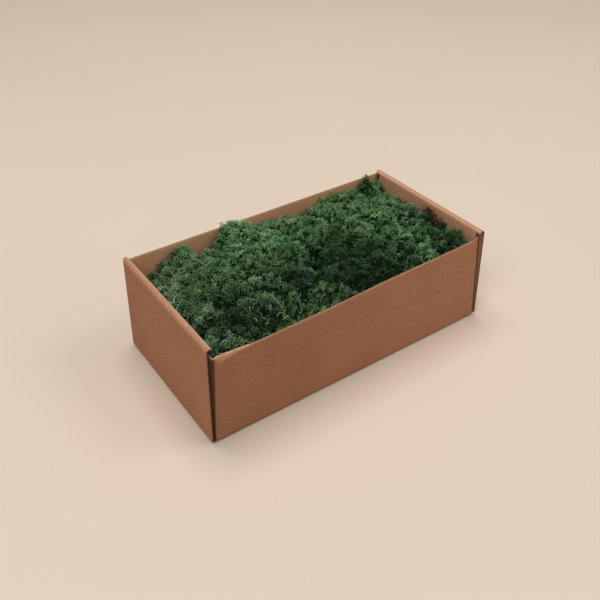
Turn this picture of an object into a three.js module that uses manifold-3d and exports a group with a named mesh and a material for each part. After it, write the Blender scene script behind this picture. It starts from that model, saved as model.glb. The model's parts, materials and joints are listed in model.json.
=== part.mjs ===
// Reindeer moss in a folded tray of corrugated board.
// Millimetres, +Z up. The origin is the middle of the tray's underside, +X runs along the
// long front wall to the right and +Y runs to the back.

import * as THREE from 'three';
import Module from 'manifold-3d';
import { mergeVertices } from 'three/addons/utils/BufferGeometryUtils.js';

const wasm = await Module();
wasm.setup();

// Driving dimensions of the tray.
const LENGTH = 300; // over the two end walls
const WIDTH = 153.4; // over the front and back walls
const END_HEIGHT = 98.2; // top of the rolled end walls
const BACK_HEIGHT = 95;
const FRONT_HEIGHT = 89;
const BOARD = 1.6; // thickness of the corrugated board
const LAYER_GAP = 0.4; // air between the layers of an end wall
const FOLD_RADIUS = 2.4; // outside of a fold
const FLAP_LENGTH = 65; // dust flap, from the corner inwards
const FLAP_FOOT = 2.4; // underside of the walls' flaps, clear of the base
const INNER_MARGIN = 5.1; // from the tray's outside to the side of an inner end panel
const LEAN_FROM = 12; // the front wall is straight up to this height
const LEAN_STEP = 25; // length of its flat stretches, between which it can lean
const LEAN_LEFT = 5.4; // outwards at the left end of its top
const LEAN_RIGHT = -3; // inwards at the right end of its top
const EAR_RISE = 2.5; // the front wall's top rises to its corners
const EAR_LEFT = 45; // length of that rise at the left
const EAR_RIGHT = 8; // and at the right
const TAB_WIDTH = 25; // locking tab of an inner end panel
const TAB_PLACE = 36; // middle of a tab, from the tray's middle
const TAB_CLEARANCE = 0.35;
const TAB_FOOT = 0.3; // a tab ends this far above the tray's underside
const BASE_GAP = 0.3; // between the base and what stands on it
const CUT_PAST = 1; // a cut runs this far past what it cuts
const KRAFT = 0x8e6448;
const KRAFT_ROUGHNESS = 0.9;

// Driving dimensions of the moss.
const COLUMNS = 8;
const ROWS = 4;
const WANDER = 0.27; // how far a tuft strays from its place in the rows, as a share of a cell
const TUFT_GAP = 0.6; // between neighbouring tufts
const WALL_GAP = 0.4; // between the moss and the board
const FILL_HEIGHT = 92; // height of the moss, away from its mounds and hollows
const DOME = 5; // the side of a tuft's top lies this far below its middle
const CORE_SHARE = 0.985; // the core's radius as a share of its tuft's room
const CORE_DEPTH = 10; // from the tips down to the top of the core
const SECTORS = 6; // facets round the middle of a tuft's top
const RINGS = 2; // rings of facets on it
const FACET_STRAY = 0.12; // how far their corners stray sideways, as a share of a facet
const FACET_SPREAD = [0.9, 1.15]; // and outwards, as a share of the radius
const FACET_BUMP = 1; // and up or down
const STEM_RISE = 5; // of a sprig, up to its fork
const STEM_SPREAD = [0.6, 1.2]; // its least and most, as a share of that
const STEM_SHARE = 0.62; // width of the fork as a share of the facet's
const CROTCH_DEPTH = 1.5; // the middle of a fork lies this far below its rim
const BRANCH_RISE = 7; // from the fork up to the tips
const BRANCH_SPREAD = [0.6, 1.1]; // its least and most, as a share of that
const TIP_ALONG = [0.3, 0.7]; // place of a tip along its side of the facet
const TIP_OUTWARDS = [0.4, 0.95]; // and from the facet's middle to that side
const OLIVE_UP_TO = -70; // the moss is olive as far as this from the left
const BRIGHT_ABOVE = 98; // and bright where it stands higher than this
const MOSS_COLOURS = { olive: 0x46583a, deep: 0x30502f, bright: 0x4e7a4a };
const MOSS_ROUGHNESS = 0.95;

const MERGE_DISTANCE = 1e-5; // points nearer than this are one

const halfLength = LENGTH / 2;
const halfWidth = WIDTH / 2;
const flapFace = halfLength - BOARD - LAYER_GAP; // outer face of a dust flap
const innerFace = halfLength - 3 * BOARD - 2 * LAYER_GAP; // face of an end wall towards the moss

// Mounds and hollows of the moss: place, radius and rise, in mm.
const MOUNDS = [
  { name: 'hump at the back', x: -42, y: 67, radius: 17, rise: 17.6 },
  { name: 'hump', x: -30, y: 46, radius: 36, rise: 3.8 },
  { name: 'dip left of the hump', x: -70, y: 70, radius: 16, rise: -9 },
  { name: 'left back mound', x: -102, y: 64, radius: 20, rise: 5.5 },
  { name: 'empty corner', x: -140, y: 66, radius: 26, rise: -22.6 },
  { name: 'dip at the back', x: 52, y: 70, radius: 16, rise: -7 },
  { name: 'right back mound', x: 76, y: 62, radius: 20, rise: 3.3 },
  { name: 'dip by the tip', x: 112, y: 72, radius: 12, rise: -5 },
  { name: 'back right tip', x: 129, y: 68, radius: 11, rise: 19 },
  { name: 'dip at the right wall', x: 138, y: 24, radius: 12, rise: -4.6 },
  { name: 'second dip there', x: 138, y: -34, radius: 10, rise: -5.4 },
  { name: 'low tuft', x: 132, y: -58, radius: 22, rise: -2.6 },
  { name: 'its raised corner', x: 137, y: -56, radius: 13, rise: 8 },
  { name: 'centre', x: 5, y: 0, radius: 90, rise: 2 },
  { name: 'left mass', x: -95, y: 0, radius: 45, rise: 4 },
  { name: 'right mass', x: 75, y: 15, radius: 42, rise: 5.7 },
  { name: 'left hole', x: -100, y: -22, radius: 10, rise: -13 },
  { name: 'front hole', x: 14, y: -66, radius: 12, rise: -10 },
  { name: 'gap by it', x: 44, y: -70, radius: 14, rise: -8 },
  { name: 'dip right of the hump', x: 18, y: 70, radius: 12, rise: -6 },
];
const CREASE = {
  from: new THREE.Vector2(-2, -12),
  to: new THREE.Vector2(-62, -74),
  halfWidth: 9,
  depth: 13,
};
const FRONT_SLOPE = { from: -50, drop: 5 }; // the moss falls towards the front wall

// A linear congruential generator: the same draws on every run.
let seed = 20417;
function random(low = 0, high = 1) {
  seed = (seed * 1664525 + 1013904223) % 4294967296;
  return low + ((high - low) * seed) / 4294967296;
}

const clamp01 = (value) => Math.min(1, Math.max(0, value));

// --- solids ---------------------------------------------------------------------------

// Makes a closed geometry a solid: its doubled points are merged, its empty triangles are
// dropped, and it is turned right side out.
function solid(geometry) {
  const bare = geometry.clone();
  bare.deleteAttribute('normal');
  bare.deleteAttribute('uv');
  const merged = mergeVertices(bare, MERGE_DISTANCE);
  const points = merged.attributes.position.array;
  const corner = (index) => new THREE.Vector3().fromArray(points, 3 * index);
  const triangles = [];
  let volume = 0;
  for (let i = 0; i < merged.index.count; i += 3) {
    const [a, b, c] = [0, 1, 2].map((k) => merged.index.getX(i + k));
    if (a === b || b === c || c === a) continue;
    triangles.push([a, b, c]);
    volume += corner(a).dot(corner(b).cross(corner(c)));
  }
  const outward = volume > 0 ? triangles : triangles.map(([a, b, c]) => [a, c, b]);
  return new wasm.Manifold(
    new wasm.Mesh({
      numProp: 3,
      vertProperties: Float32Array.from(points),
      triVerts: Uint32Array.from(outward.flat()),
    }),
  );
}

function geometryOf(manifold) {
  const mesh = manifold.getMesh();
  const geometry = new THREE.BufferGeometry();
  geometry.setAttribute('position', new THREE.BufferAttribute(mesh.vertProperties, 3));
  return geometry.setIndex(new THREE.BufferAttribute(mesh.triVerts, 1));
}

// A box between two opposite corners.
function box(corner, opposite) {
  const bounds = new THREE.Box3().setFromPoints([corner, opposite]);
  const geometry = new THREE.BoxGeometry(...bounds.getSize(new THREE.Vector3()));
  return solid(geometry.translate(...bounds.getCenter(new THREE.Vector3())));
}

function namedMesh(name, manifold, colour, roughness) {
  const material = new THREE.MeshStandardMaterial({ color: colour, roughness, metalness: 0 });
  const geometry = geometryOf(manifold).toNonIndexed();
  geometry.computeVertexNormals();
  const mesh = new THREE.Mesh(geometry, material);
  mesh.name = name;
  return mesh;
}

// --- the tray -------------------------------------------------------------------------

// The points of a path through the given corners, each turned on a round fold. Straight runs
// are divided where a step is given, so that the board can lean.
function foldPath(corners, step = Infinity) {
  const arcSteps = 3;
  const points = [corners[0]];
  for (let i = 1; i < corners.length - 1; i++) {
    const before = corners[i - 1].clone().sub(corners[i]).normalize();
    const after = corners[i + 1].clone().sub(corners[i]).normalize();
    const centre = corners[i].clone();
    centre.add(before.clone().add(after).multiplyScalar(FOLD_RADIUS)); // right-angled corners
    for (let k = 0; k <= arcSteps; k++) {
      const turn = (k / arcSteps) * (Math.PI / 2);
      const spoke = after.clone().multiplyScalar(-Math.cos(turn));
      spoke.addScaledVector(before, -Math.sin(turn)).multiplyScalar(FOLD_RADIUS);
      points.push(centre.clone().add(spoke));
    }
  }
  points.push(corners.at(-1));
  return divide(points, step);
}

function divide(points, step) {
  const divided = [points[0]];
  for (let i = 1; i < points.length; i++) {
    const pieces = Math.max(1, Math.round(points[i].distanceTo(points[i - 1]) / step));
    for (let k = 1; k <= pieces; k++) {
      divided.push(points[i - 1].clone().lerp(points[i], k / pieces));
    }
  }
  return divided;
}

// The matching path on the board's other face, which lies to the right of the walk.
function innerPath(points) {
  const normals = points.slice(1).map((point, i) => {
    const along = point.clone().sub(points[i]).normalize();
    return new THREE.Vector2(along.y, -along.x);
  });
  return points.map((point, i) => {
    const first = normals[Math.max(0, i - 1)];
    const second = normals[Math.min(normals.length - 1, i)];
    const middle = first.clone().add(second).normalize();
    return point.clone().addScaledVector(middle, BOARD / middle.dot(first));
  });
}

// A folded board: a box with one segment for each step of its path. place(u, v, w) puts a
// point of the path (u, v) at the height or depth w, which runs from 0 to 1.
function foldedBoard(path, rows, place) {
  const steps = path.length - 1;
  const inside = innerPath(path);
  const geometry = new THREE.BoxGeometry(1, 1, 1, steps, rows, 1);
  const position = geometry.attributes.position;
  for (let i = 0; i < position.count; i++) {
    const index = Math.round((position.getX(i) + 0.5) * steps);
    const face = position.getZ(i) > 0 ? inside : path;
    const point = place(face[index].x, face[index].y, position.getY(i) + 0.5);
    position.setXYZ(i, point.x, point.y, point.z);
  }
  return solid(geometry);
}

// The base with the folds of the front and back walls at its sides.
function trough() {
  const top = LEAN_FROM - 2;
  const corners = [
    new THREE.Vector2(halfWidth, top),
    new THREE.Vector2(halfWidth, 0),
    new THREE.Vector2(-halfWidth, 0),
    new THREE.Vector2(-halfWidth, top),
  ];
  const reach = flapFace - FOLD_RADIUS;
  return foldedBoard(foldPath(corners), 1, (y, z, w) => {
    return new THREE.Vector3(THREE.MathUtils.lerp(-reach, reach, w), y, z);
  });
}

// How far the front wall's top leans out, and how high it stands, at a place along it.
function frontTop(x) {
  const share = clamp01((x + halfLength) / LENGTH);
  const earLeft = clamp01(1 - (x + flapFace) / EAR_LEFT);
  const earRight = clamp01(1 - (flapFace - x) / EAR_RIGHT);
  return {
    lean: THREE.MathUtils.lerp(LEAN_LEFT, LEAN_RIGHT, share),
    height: FRONT_HEIGHT + EAR_RISE * Math.max(earLeft, earRight),
  };
}

// A long wall with a dust flap at each end. side is -1 for the front and 1 for the back.
function longWall(side) {
  const flapEnd = side * (halfWidth - FLAP_LENGTH);
  const corners = [
    new THREE.Vector2(-flapFace, flapEnd),
    new THREE.Vector2(-flapFace, side * halfWidth),
    new THREE.Vector2(flapFace, side * halfWidth),
    new THREE.Vector2(flapFace, flapEnd),
  ];
  if (side < 0) corners.reverse();
  const rows = 4; // the lowest row is upright, and the others can lean
  return foldedBoard(foldPath(corners, side < 0 ? LEAN_STEP : Infinity), rows, (x, y, w) => {
    const top = side < 0 ? frontTop(x) : { lean: 0, height: BACK_HEIGHT };
    const row = Math.round(w * rows);
    const share = Math.max(0, (row - 1) / (rows - 1));
    const z = row === 0 ? FLAP_FOOT : THREE.MathUtils.lerp(LEAN_FROM, top.height, share);
    return new THREE.Vector3(x, y - top.lean * share, z);
  });
}

// An end wall: the outer panel folds up from the base, rolls over and comes down inside.
function endWall(side) {
  const foot = BOARD + BASE_GAP;
  const baseLap = 15; // the piece of base that the fold belongs to
  const past = CUT_PAST;
  const corners = [
    new THREE.Vector2(-halfLength + baseLap, 0),
    new THREE.Vector2(-halfLength, 0),
    new THREE.Vector2(-halfLength, END_HEIGHT),
    new THREE.Vector2(-innerFace, END_HEIGHT),
    new THREE.Vector2(-innerFace, foot),
  ];
  let wall = foldedBoard(foldPath(corners), 1, (x, z, w) => {
    return new THREE.Vector3(-side * x, THREE.MathUtils.lerp(-halfWidth, halfWidth, w), z);
  });
  for (const end of [-1, 1]) {
    const inside = new THREE.Vector3(side * (innerFace - past), end * (halfWidth - INNER_MARGIN), foot);
    const betweenLayers = new THREE.Vector3(
      side * (innerFace + BOARD + LAYER_GAP / 2),
      end * (halfWidth + past),
      END_HEIGHT - FOLD_RADIUS,
    );
    wall = wall.subtract(box(inside, betweenLayers)); // the inner panel is the narrower one
    const lapCorner = new THREE.Vector3(
      side * (halfLength - baseLap - past),
      end * (halfWidth - FOLD_RADIUS),
      -past,
    );
    const outside = new THREE.Vector3(side * (halfLength + past), end * (halfWidth + past), FOLD_RADIUS);
    wall = wall.subtract(box(lapCorner, outside)); // room for the long wall's fold
  }
  return wall;
}

// The box of a locking tab, or of its slot where a clearance is given.
function tabBox(side, end, clearance, floor) {
  const halfTab = TAB_WIDTH / 2 + clearance;
  const middle = end * TAB_PLACE;
  return box(
    new THREE.Vector3(side * (innerFace - clearance), middle - halfTab, floor),
    new THREE.Vector3(side * (innerFace + BOARD + clearance), middle + halfTab, BOARD + CUT_PAST),
  );
}

function tray() {
  const sides = [-1, 1];
  const tabs = sides.flatMap((side) => sides.map((end) => [side, end]));
  let board = trough();
  for (const side of sides) board = board.add(longWall(side)).add(endWall(side));
  for (const [side, end] of tabs) {
    board = board.subtract(tabBox(side, end, TAB_CLEARANCE, -CUT_PAST));
  }
  for (const [side, end] of tabs) board = board.add(tabBox(side, end, 0, TAB_FOOT));
  return board;
}

// --- the moss -------------------------------------------------------------------------

// Height of the moss at a place, from the fill, the mounds and hollows, and the crease.
function mossHeight(x, y) {
  let height = FILL_HEIGHT;
  for (const mound of MOUNDS) {
    const squared = (x - mound.x) ** 2 + (y - mound.y) ** 2;
    height += mound.rise * Math.exp(-squared / mound.radius ** 2);
  }
  const line = CREASE.to.clone().sub(CREASE.from);
  const offset = new THREE.Vector2(x, y).sub(CREASE.from);
  const along = clamp01(offset.dot(line) / line.lengthSq());
  const away = offset.addScaledVector(line, -along).length() / CREASE.halfWidth;
  height -= CREASE.depth * Math.exp(-away * away);
  const forward = clamp01((FRONT_SLOPE.from - y) / (halfWidth + FRONT_SLOPE.from));
  return height - FRONT_SLOPE.drop * forward;
}

// The top of a tuft's core at a share of its radius.
function coreTop(x, y, share) {
  return mossHeight(x, y) - CORE_DEPTH - DOME * share * share;
}

// The space inside the tray, as half-planes: a point is inside where normal.point <= limit.
function insideTray() {
  const wall = (x, y, limit) => ({ normal: new THREE.Vector2(x, y), limit });
  const side = innerFace - WALL_GAP;
  const back = halfWidth - BOARD - WALL_GAP;
  // The front wall leans in at its right end, so the moss keeps clear along a slant.
  const slant = new THREE.Vector2(Math.max(0, -LEAN_RIGHT) / LENGTH, -1).normalize();
  const frontLeft = new THREE.Vector2(-halfLength, -back);
  return [
    wall(-1, 0, side),
    wall(1, 0, side),
    wall(0, 1, back),
    { normal: slant, limit: slant.dot(frontLeft) },
  ];
}

// The middles of the tufts, in jittered rows.
function tuftPlaces() {
  const places = [];
  const cell = new THREE.Vector2((2 * innerFace) / COLUMNS, (WIDTH - 2 * BOARD) / ROWS);
  for (let row = 0; row < ROWS; row++) {
    for (let column = 0; column < COLUMNS; column++) {
      const x = column + 0.5 - COLUMNS / 2 + random(-WANDER, WANDER);
      const y = row + 0.5 - ROWS / 2 + random(-WANDER, WANDER);
      places.push(new THREE.Vector2(x * cell.x, y * cell.y));
    }
  }
  return places;
}

// The room of one tuft: the tray's walls and the lines half way to its neighbours.
function cellOf(place, places, walls) {
  const planes = places
    .filter((other) => other !== place)
    .map((other) => {
      const normal = other.clone().sub(place).normalize();
      const middle = other.clone().add(place).multiplyScalar(0.5);
      return { normal, limit: normal.dot(middle) - TUFT_GAP / 2 };
    });
  return [...walls, ...planes];
}

// The distance from a tuft's middle to the side of its room.
function reach(cell, place, angle) {
  const direction = new THREE.Vector2(Math.cos(angle), Math.sin(angle));
  let nearest = Infinity;
  for (const { normal, limit } of cell) {
    const towards = normal.dot(direction);
    if (towards > 1e-6) nearest = Math.min(nearest, (limit - normal.dot(place)) / towards);
  }
  return nearest;
}

// The corners of a room, seen from above: a wide square cut by each of its planes in turn.
function cornersOf(cell) {
  let corners = [[1, 1], [-1, 1], [-1, -1], [1, -1]].map(([x, y]) => {
    return new THREE.Vector2(x, y).multiplyScalar(LENGTH);
  });
  for (const { normal, limit } of cell) {
    const over = corners.map((corner) => normal.dot(corner) - limit);
    corners = corners.flatMap((corner, i) => {
      const next = (i + 1) % corners.length;
      const kept = over[i] <= 0 ? [corner] : [];
      if (over[i] > 0 === over[next] > 0) return kept;
      return [...kept, corner.clone().lerp(corners[next], over[i] / (over[i] - over[next]))];
    });
  }
  return corners;
}

// The directions of a tuft's rim points: even turns, some moved to the corners of its room.
function rimAngles(place, cell) {
  const count = SECTORS * RINGS;
  const turn = (2 * Math.PI) / count;
  const angles = Array.from({ length: count }, (_, index) => index * turn);
  const moved = new Set();
  for (const corner of cornersOf(cell)) {
    const angle = (corner.clone().sub(place).angle() + 2 * Math.PI) % (2 * Math.PI);
    const index = Math.round(angle / turn) % count;
    if (moved.has(index)) continue;
    moved.add(index);
    angles[index] = angle;
  }
  return angles;
}

// The points and triangles of one closed body.
class Facets {
  points = [];
  triangles = [];

  addPoint(x, y, z) {
    return this.points.push(new THREE.Vector3(x, y, z)) - 1;
  }

  solid() {
    const geometry = new THREE.BufferGeometry().setFromPoints(this.points);
    return solid(geometry.setIndex(this.triangles.flat()));
  }
}

// A forked sprig on a facet of the core: the facet rises and narrows to a stem, which splits
// into a pointed branch above each side. All of it stays above its facet, clear of the others.
function addSprig(facets, corners) {
  const points = corners.map((corner) => facets.points[corner]);
  const middle = points[0].clone().add(points[1]).add(points[2]).divideScalar(3);
  const stem = STEM_RISE * random(...STEM_SPREAD);
  const lifted = (towards, share, rise) => {
    const point = middle.clone().lerp(towards, share);
    return facets.addPoint(point.x, point.y, point.z + rise);
  };
  const ring = points.map((point) => lifted(point, STEM_SHARE, stem));
  const crotch = lifted(middle, 0, stem - CROTCH_DEPTH);
  corners.forEach((corner, side) => {
    const next = (side + 1) % corners.length;
    const edge = points[side].clone().lerp(points[next], random(...TIP_ALONG));
    const share = random(...TIP_OUTWARDS);
    const tip = lifted(edge, share, stem + BRANCH_RISE * random(...BRANCH_SPREAD));
    facets.triangles.push(
      [corner, corners[next], ring[next]],
      [corner, ring[next], ring[side]],
      [ring[side], ring[next], tip],
      [ring[next], crotch, tip],
      [crotch, ring[side], tip],
    );
  });
}

// One tuft: a core of interwoven stems, from the base of the tray to a domed top of
// triangular facets in rings, with a sprig on every facet.
function tuft(place, cell) {
  const facets = new Facets();
  const angles = rimAngles(place, cell);
  const topPoint = (ring, index) => {
    const onRim = ring === RINGS;
    const stray = random(-FACET_STRAY, FACET_STRAY);
    const angle = onRim ? angles[index] : ((index + stray) * 2 * Math.PI) / (SECTORS * ring || 1);
    const share = onRim ? 1 : (ring / RINGS) * random(...FACET_SPREAD);
    const radius = share * CORE_SHARE * reach(cell, place, angle);
    const x = place.x + radius * Math.cos(angle);
    const y = place.y + radius * Math.sin(angle);
    return facets.addPoint(x, y, coreTop(x, y, share) + random(-FACET_BUMP, FACET_BUMP));
  };
  const rings = [[topPoint(0, 0)]];
  for (let ring = 1; ring <= RINGS; ring++) {
    rings.push(Array.from({ length: SECTORS * ring }, (_, index) => topPoint(ring, index)));
  }
  for (let ring = 1; ring <= RINGS; ring++) {
    const [inner, outer] = [rings[ring - 1], rings[ring]];
    for (let sector = 0; sector < SECTORS; sector++) {
      for (let step = 0; step < ring; step++) {
        const near = inner[(sector * (ring - 1) + step) % inner.length];
        const first = outer[sector * ring + step];
        const second = outer[(sector * ring + step + 1) % outer.length];
        addSprig(facets, [near, first, second]);
        if (step === ring - 1) continue;
        const beside = inner[(sector * (ring - 1) + step + 1) % inner.length];
        addSprig(facets, [near, second, beside]);
      }
    }
  }
  const foot = BOARD + BASE_GAP;
  const middle = facets.addPoint(place.x, place.y, foot);
  const rim = rings[RINGS];
  const base = rim.map((top) => {
    const { x, y } = facets.points[top];
    return facets.addPoint(x, y, foot);
  });
  rim.forEach((top, index) => {
    const next = (index + 1) % rim.length;
    facets.triangles.push([base[index], base[next], rim[next]], [base[index], rim[next], top]);
    facets.triangles.push([base[next], base[index], middle]);
  });
  return facets.solid();
}

// The left of the tray holds olive moss, the middle of the back the brightest.
function mossColour(place) {
  if (place.x < OLIVE_UP_TO) return MOSS_COLOURS.olive;
  return mossHeight(place.x, place.y) > BRIGHT_ABOVE ? MOSS_COLOURS.bright : MOSS_COLOURS.deep;
}

// --- assembly -------------------------------------------------------------------------

const group = new THREE.Group();
group.add(namedMesh('tray', tray(), KRAFT, KRAFT_ROUGHNESS));

const places = tuftPlaces();
const walls = insideTray();
places.forEach((place, index) => {
  const name = `moss_tuft_${String(index + 1).padStart(2, '0')}`;
  const body = tuft(place, cellOf(place, places, walls));
  group.add(namedMesh(name, body, mossColour(place), MOSS_ROUGHNESS));
});

export default group;
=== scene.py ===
"""Reindeer moss in an open folded tray of corrugated board, dressed around its solids.

Metres, +Z up. The origin is the middle of the tray's underside, +X runs along the long front
wall to the right and +Y runs to the back.
"""

import json
import logging
import math
from dataclasses import dataclass, field
from enum import Enum
from functools import cache, partial

import bpy
import numpy as np
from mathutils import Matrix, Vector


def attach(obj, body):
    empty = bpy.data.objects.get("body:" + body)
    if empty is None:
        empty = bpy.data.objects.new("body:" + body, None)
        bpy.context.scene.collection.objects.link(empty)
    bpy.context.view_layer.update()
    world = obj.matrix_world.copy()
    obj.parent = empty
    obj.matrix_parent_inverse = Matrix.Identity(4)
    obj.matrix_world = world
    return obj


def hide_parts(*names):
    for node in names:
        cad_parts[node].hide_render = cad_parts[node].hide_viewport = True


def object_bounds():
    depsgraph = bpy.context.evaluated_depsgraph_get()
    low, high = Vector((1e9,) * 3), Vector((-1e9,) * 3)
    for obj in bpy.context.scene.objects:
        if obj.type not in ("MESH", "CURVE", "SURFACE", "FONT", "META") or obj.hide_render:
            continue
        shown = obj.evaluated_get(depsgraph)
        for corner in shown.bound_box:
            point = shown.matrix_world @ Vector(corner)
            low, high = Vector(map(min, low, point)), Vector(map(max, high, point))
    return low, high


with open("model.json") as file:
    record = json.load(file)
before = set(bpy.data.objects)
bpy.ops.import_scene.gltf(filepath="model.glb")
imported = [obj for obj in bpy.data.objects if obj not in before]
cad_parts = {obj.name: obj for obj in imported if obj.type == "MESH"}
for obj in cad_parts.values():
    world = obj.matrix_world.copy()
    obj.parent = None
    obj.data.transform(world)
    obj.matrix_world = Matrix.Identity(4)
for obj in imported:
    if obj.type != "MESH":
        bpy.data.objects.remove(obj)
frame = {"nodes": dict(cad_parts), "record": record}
cad_lowest, cad_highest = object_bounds()

log = logging.getLogger("moss_tray")

MM = 0.001
BODY = "root"
UP = np.array([0.0, 0.0, 1.0])

Array = np.ndarray
Material = bpy.types.Material
Socket = bpy.types.NodeSocket
Colour = tuple[float, float, float]
Pair = tuple[float, float]


class Slot(Enum):
    """The material slots of the record."""

    KRAFT = "kraft_board"
    OLIVE = "moss_olive"
    DEEP = "moss_deep"
    BRIGHT = "moss_bright"


def linear(*display: int) -> Colour:
    """A colour in linear light, 0 to 1, from its displayed red, green and blue, 0 to 255."""
    shares = np.array(display) / 255
    return tuple(np.where(shares <= 0.04045, shares / 12.92, ((shares + 0.055) / 1.055) ** 2.4).tolist())


def unit(vectors: Array) -> Array:
    """Vectors scaled to length one along their last axis."""
    return vectors / np.maximum(np.linalg.norm(vectors, axis=-1, keepdims=True), 1e-12)


def square(vectors: Array, directions: Array) -> Array:
    """What of each vector is square to a unit direction: v - (v · d) · d."""
    return vectors - (vectors * directions).sum(-1, keepdims=True) * directions


def smooth(share: Array) -> Array:
    """A smooth step: 3s² - 2s³ of the share, held between 0 and 1."""
    held = np.clip(share, 0, 1)
    return held * held * (3 - 2 * held)


# --- meshes -----------------------------------------------------------------------------


@dataclass
class Weave:
    """Points, faces and point values of one mesh, gathered part by part."""

    points: list[Array] = field(default_factory=list)
    faces: list[Array] = field(default_factory=list)
    values: dict[str, list[Array]] = field(default_factory=dict)
    count: int = 0

    def add(self, points: Array, faces: Array, **values: Array) -> None:
        """Adds one closed part, turned right side out.

        The signed volume is the sum of a · (b × c) over the triangles that each face fans
        out in. A negative sum turns every face.

        Args:
            points: Its points, one row each.
            faces: Corner numbers, three or four to a row.
            **values: One number or colour for each point, by the name of its attribute.
        """
        corners = points[faces]
        fans = (np.cross(corners[:, last - 1], corners[:, last]) for last in range(2, faces.shape[1]))
        if sum((corners[:, 0] * fan).sum() for fan in fans) < 0:
            faces = faces[:, ::-1]
        self.points.append(points)
        self.faces.append(faces + self.count)
        self.count += len(points)
        for name, value in values.items():
            self.values.setdefault(name, []).append(value)

    def piece(self, name: str, material: Material, slot: Slot, *nodes: str, crease: float = 180) -> None:
        """Makes the object at the origin, lets it ride and puts it in the place of solids.

        Args:
            name: The piece's name.
            material: Its finish.
            slot: The record's slot for its finish; not used.
            *nodes: The solids that it stands for, if any.
            crease: Edges sharper than this many degrees stay sharp.
        """
        points = np.concatenate(self.points).astype(np.float32)
        sizes = np.concatenate([np.full(len(part), part.shape[1]) for part in self.faces])
        corners = np.concatenate([part.ravel() for part in self.faces])
        mesh = bpy.data.meshes.new(name)
        mesh.vertices.add(len(points))
        mesh.vertices.foreach_set("co", points.ravel())
        mesh.loops.add(len(corners))
        mesh.loops.foreach_set("vertex_index", corners.astype(np.int32))
        mesh.polygons.add(len(sizes))
        mesh.polygons.foreach_set("loop_start", (np.cumsum(sizes) - sizes).astype(np.int32))
        mesh.polygons.foreach_set("loop_total", sizes.astype(np.int32))
        mesh.update(calc_edges=True)
        for label, parts in self.values.items():
            values = np.concatenate(parts).astype(np.float32)
            kind, key = ("FLOAT", "value") if values.ndim == 1 else ("FLOAT_COLOR", "color")
            if values.ndim == 2:
                values = np.insert(values, 3, 1, axis=1)
            mesh.attributes.new(label, kind, "POINT").data.foreach_set(key, values.ravel())
        mesh.materials.append(material)
        mesh.shade_smooth()
        mesh.set_sharp_from_angle(angle=math.radians(crease))
        made = bpy.data.objects.new(name, mesh)
        bpy.context.scene.collection.objects.link(made)
        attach(made, BODY)
        if nodes:
            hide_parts(*nodes)
        log.info("%s: %d faces", name, len(sizes))


def grid_faces(rows: int, columns: int, closed: bool = False) -> Array:
    """The four-sided faces of a grid of points numbered row by row.

    Args:
        rows: Rows of points.
        columns: Points in a row.
        closed: True where every row is a ring.

    Returns:
        Corner numbers, four to a row.
    """
    number = np.arange(rows * columns).reshape(rows, columns)
    if closed:
        number = np.append(number, number[:, :1], axis=1)
    sides = (number[:-1, :-1], number[1:, :-1], number[1:, 1:], number[:-1, 1:])
    return np.stack(sides, axis=-1).reshape(-1, 4)


def halves(quads: Array) -> Array:
    """Two triangles for each four-sided face."""
    return np.concatenate([quads[:, [0, 1, 2]], quads[:, [0, 2, 3]]])


def slab(outer: Array, inner: Array) -> tuple[Array, Array]:
    """A closed sheet between two grids of points that face each other.

    Args:
        outer: Points of one face, rows by columns by three.
        inner: The matching points of the other face.

    Returns:
        Its points, and its faces, four corners each.
    """
    rows, columns = outer.shape[:2]
    size = rows * columns
    face = grid_faces(rows, columns)
    number = np.arange(size).reshape(rows, columns)
    rim = np.concatenate([number[0, :-1], number[:-1, -1], number[-1, :0:-1], number[:0:-1, 0]])
    after = np.roll(rim, -1)
    sides = np.stack([after, rim, rim + size, after + size], axis=1)
    points = np.concatenate([outer.reshape(-1, 3), inner.reshape(-1, 3)])
    return points, np.concatenate([face[:, ::-1], face + size, sides[:, ::-1]])


def edged(start: float, stop: float, step: float, near: tuple[float, ...] = ()) -> Array:
    """Even stations between two ends, with closer ones next to each end.

    Args:
        start: First station.
        stop: Last station.
        step: About how far apart the even ones are.
        near: Distances from each end that get a station of their own.

    Returns:
        The stations in rising order.
    """
    even = np.linspace(start, stop, max(2, round((stop - start) / step) + 1))
    close = np.array(near)
    return np.unique(np.round(np.concatenate([even, start + close, stop - close]), 7))


# --- finishes ---------------------------------------------------------------------------


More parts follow.
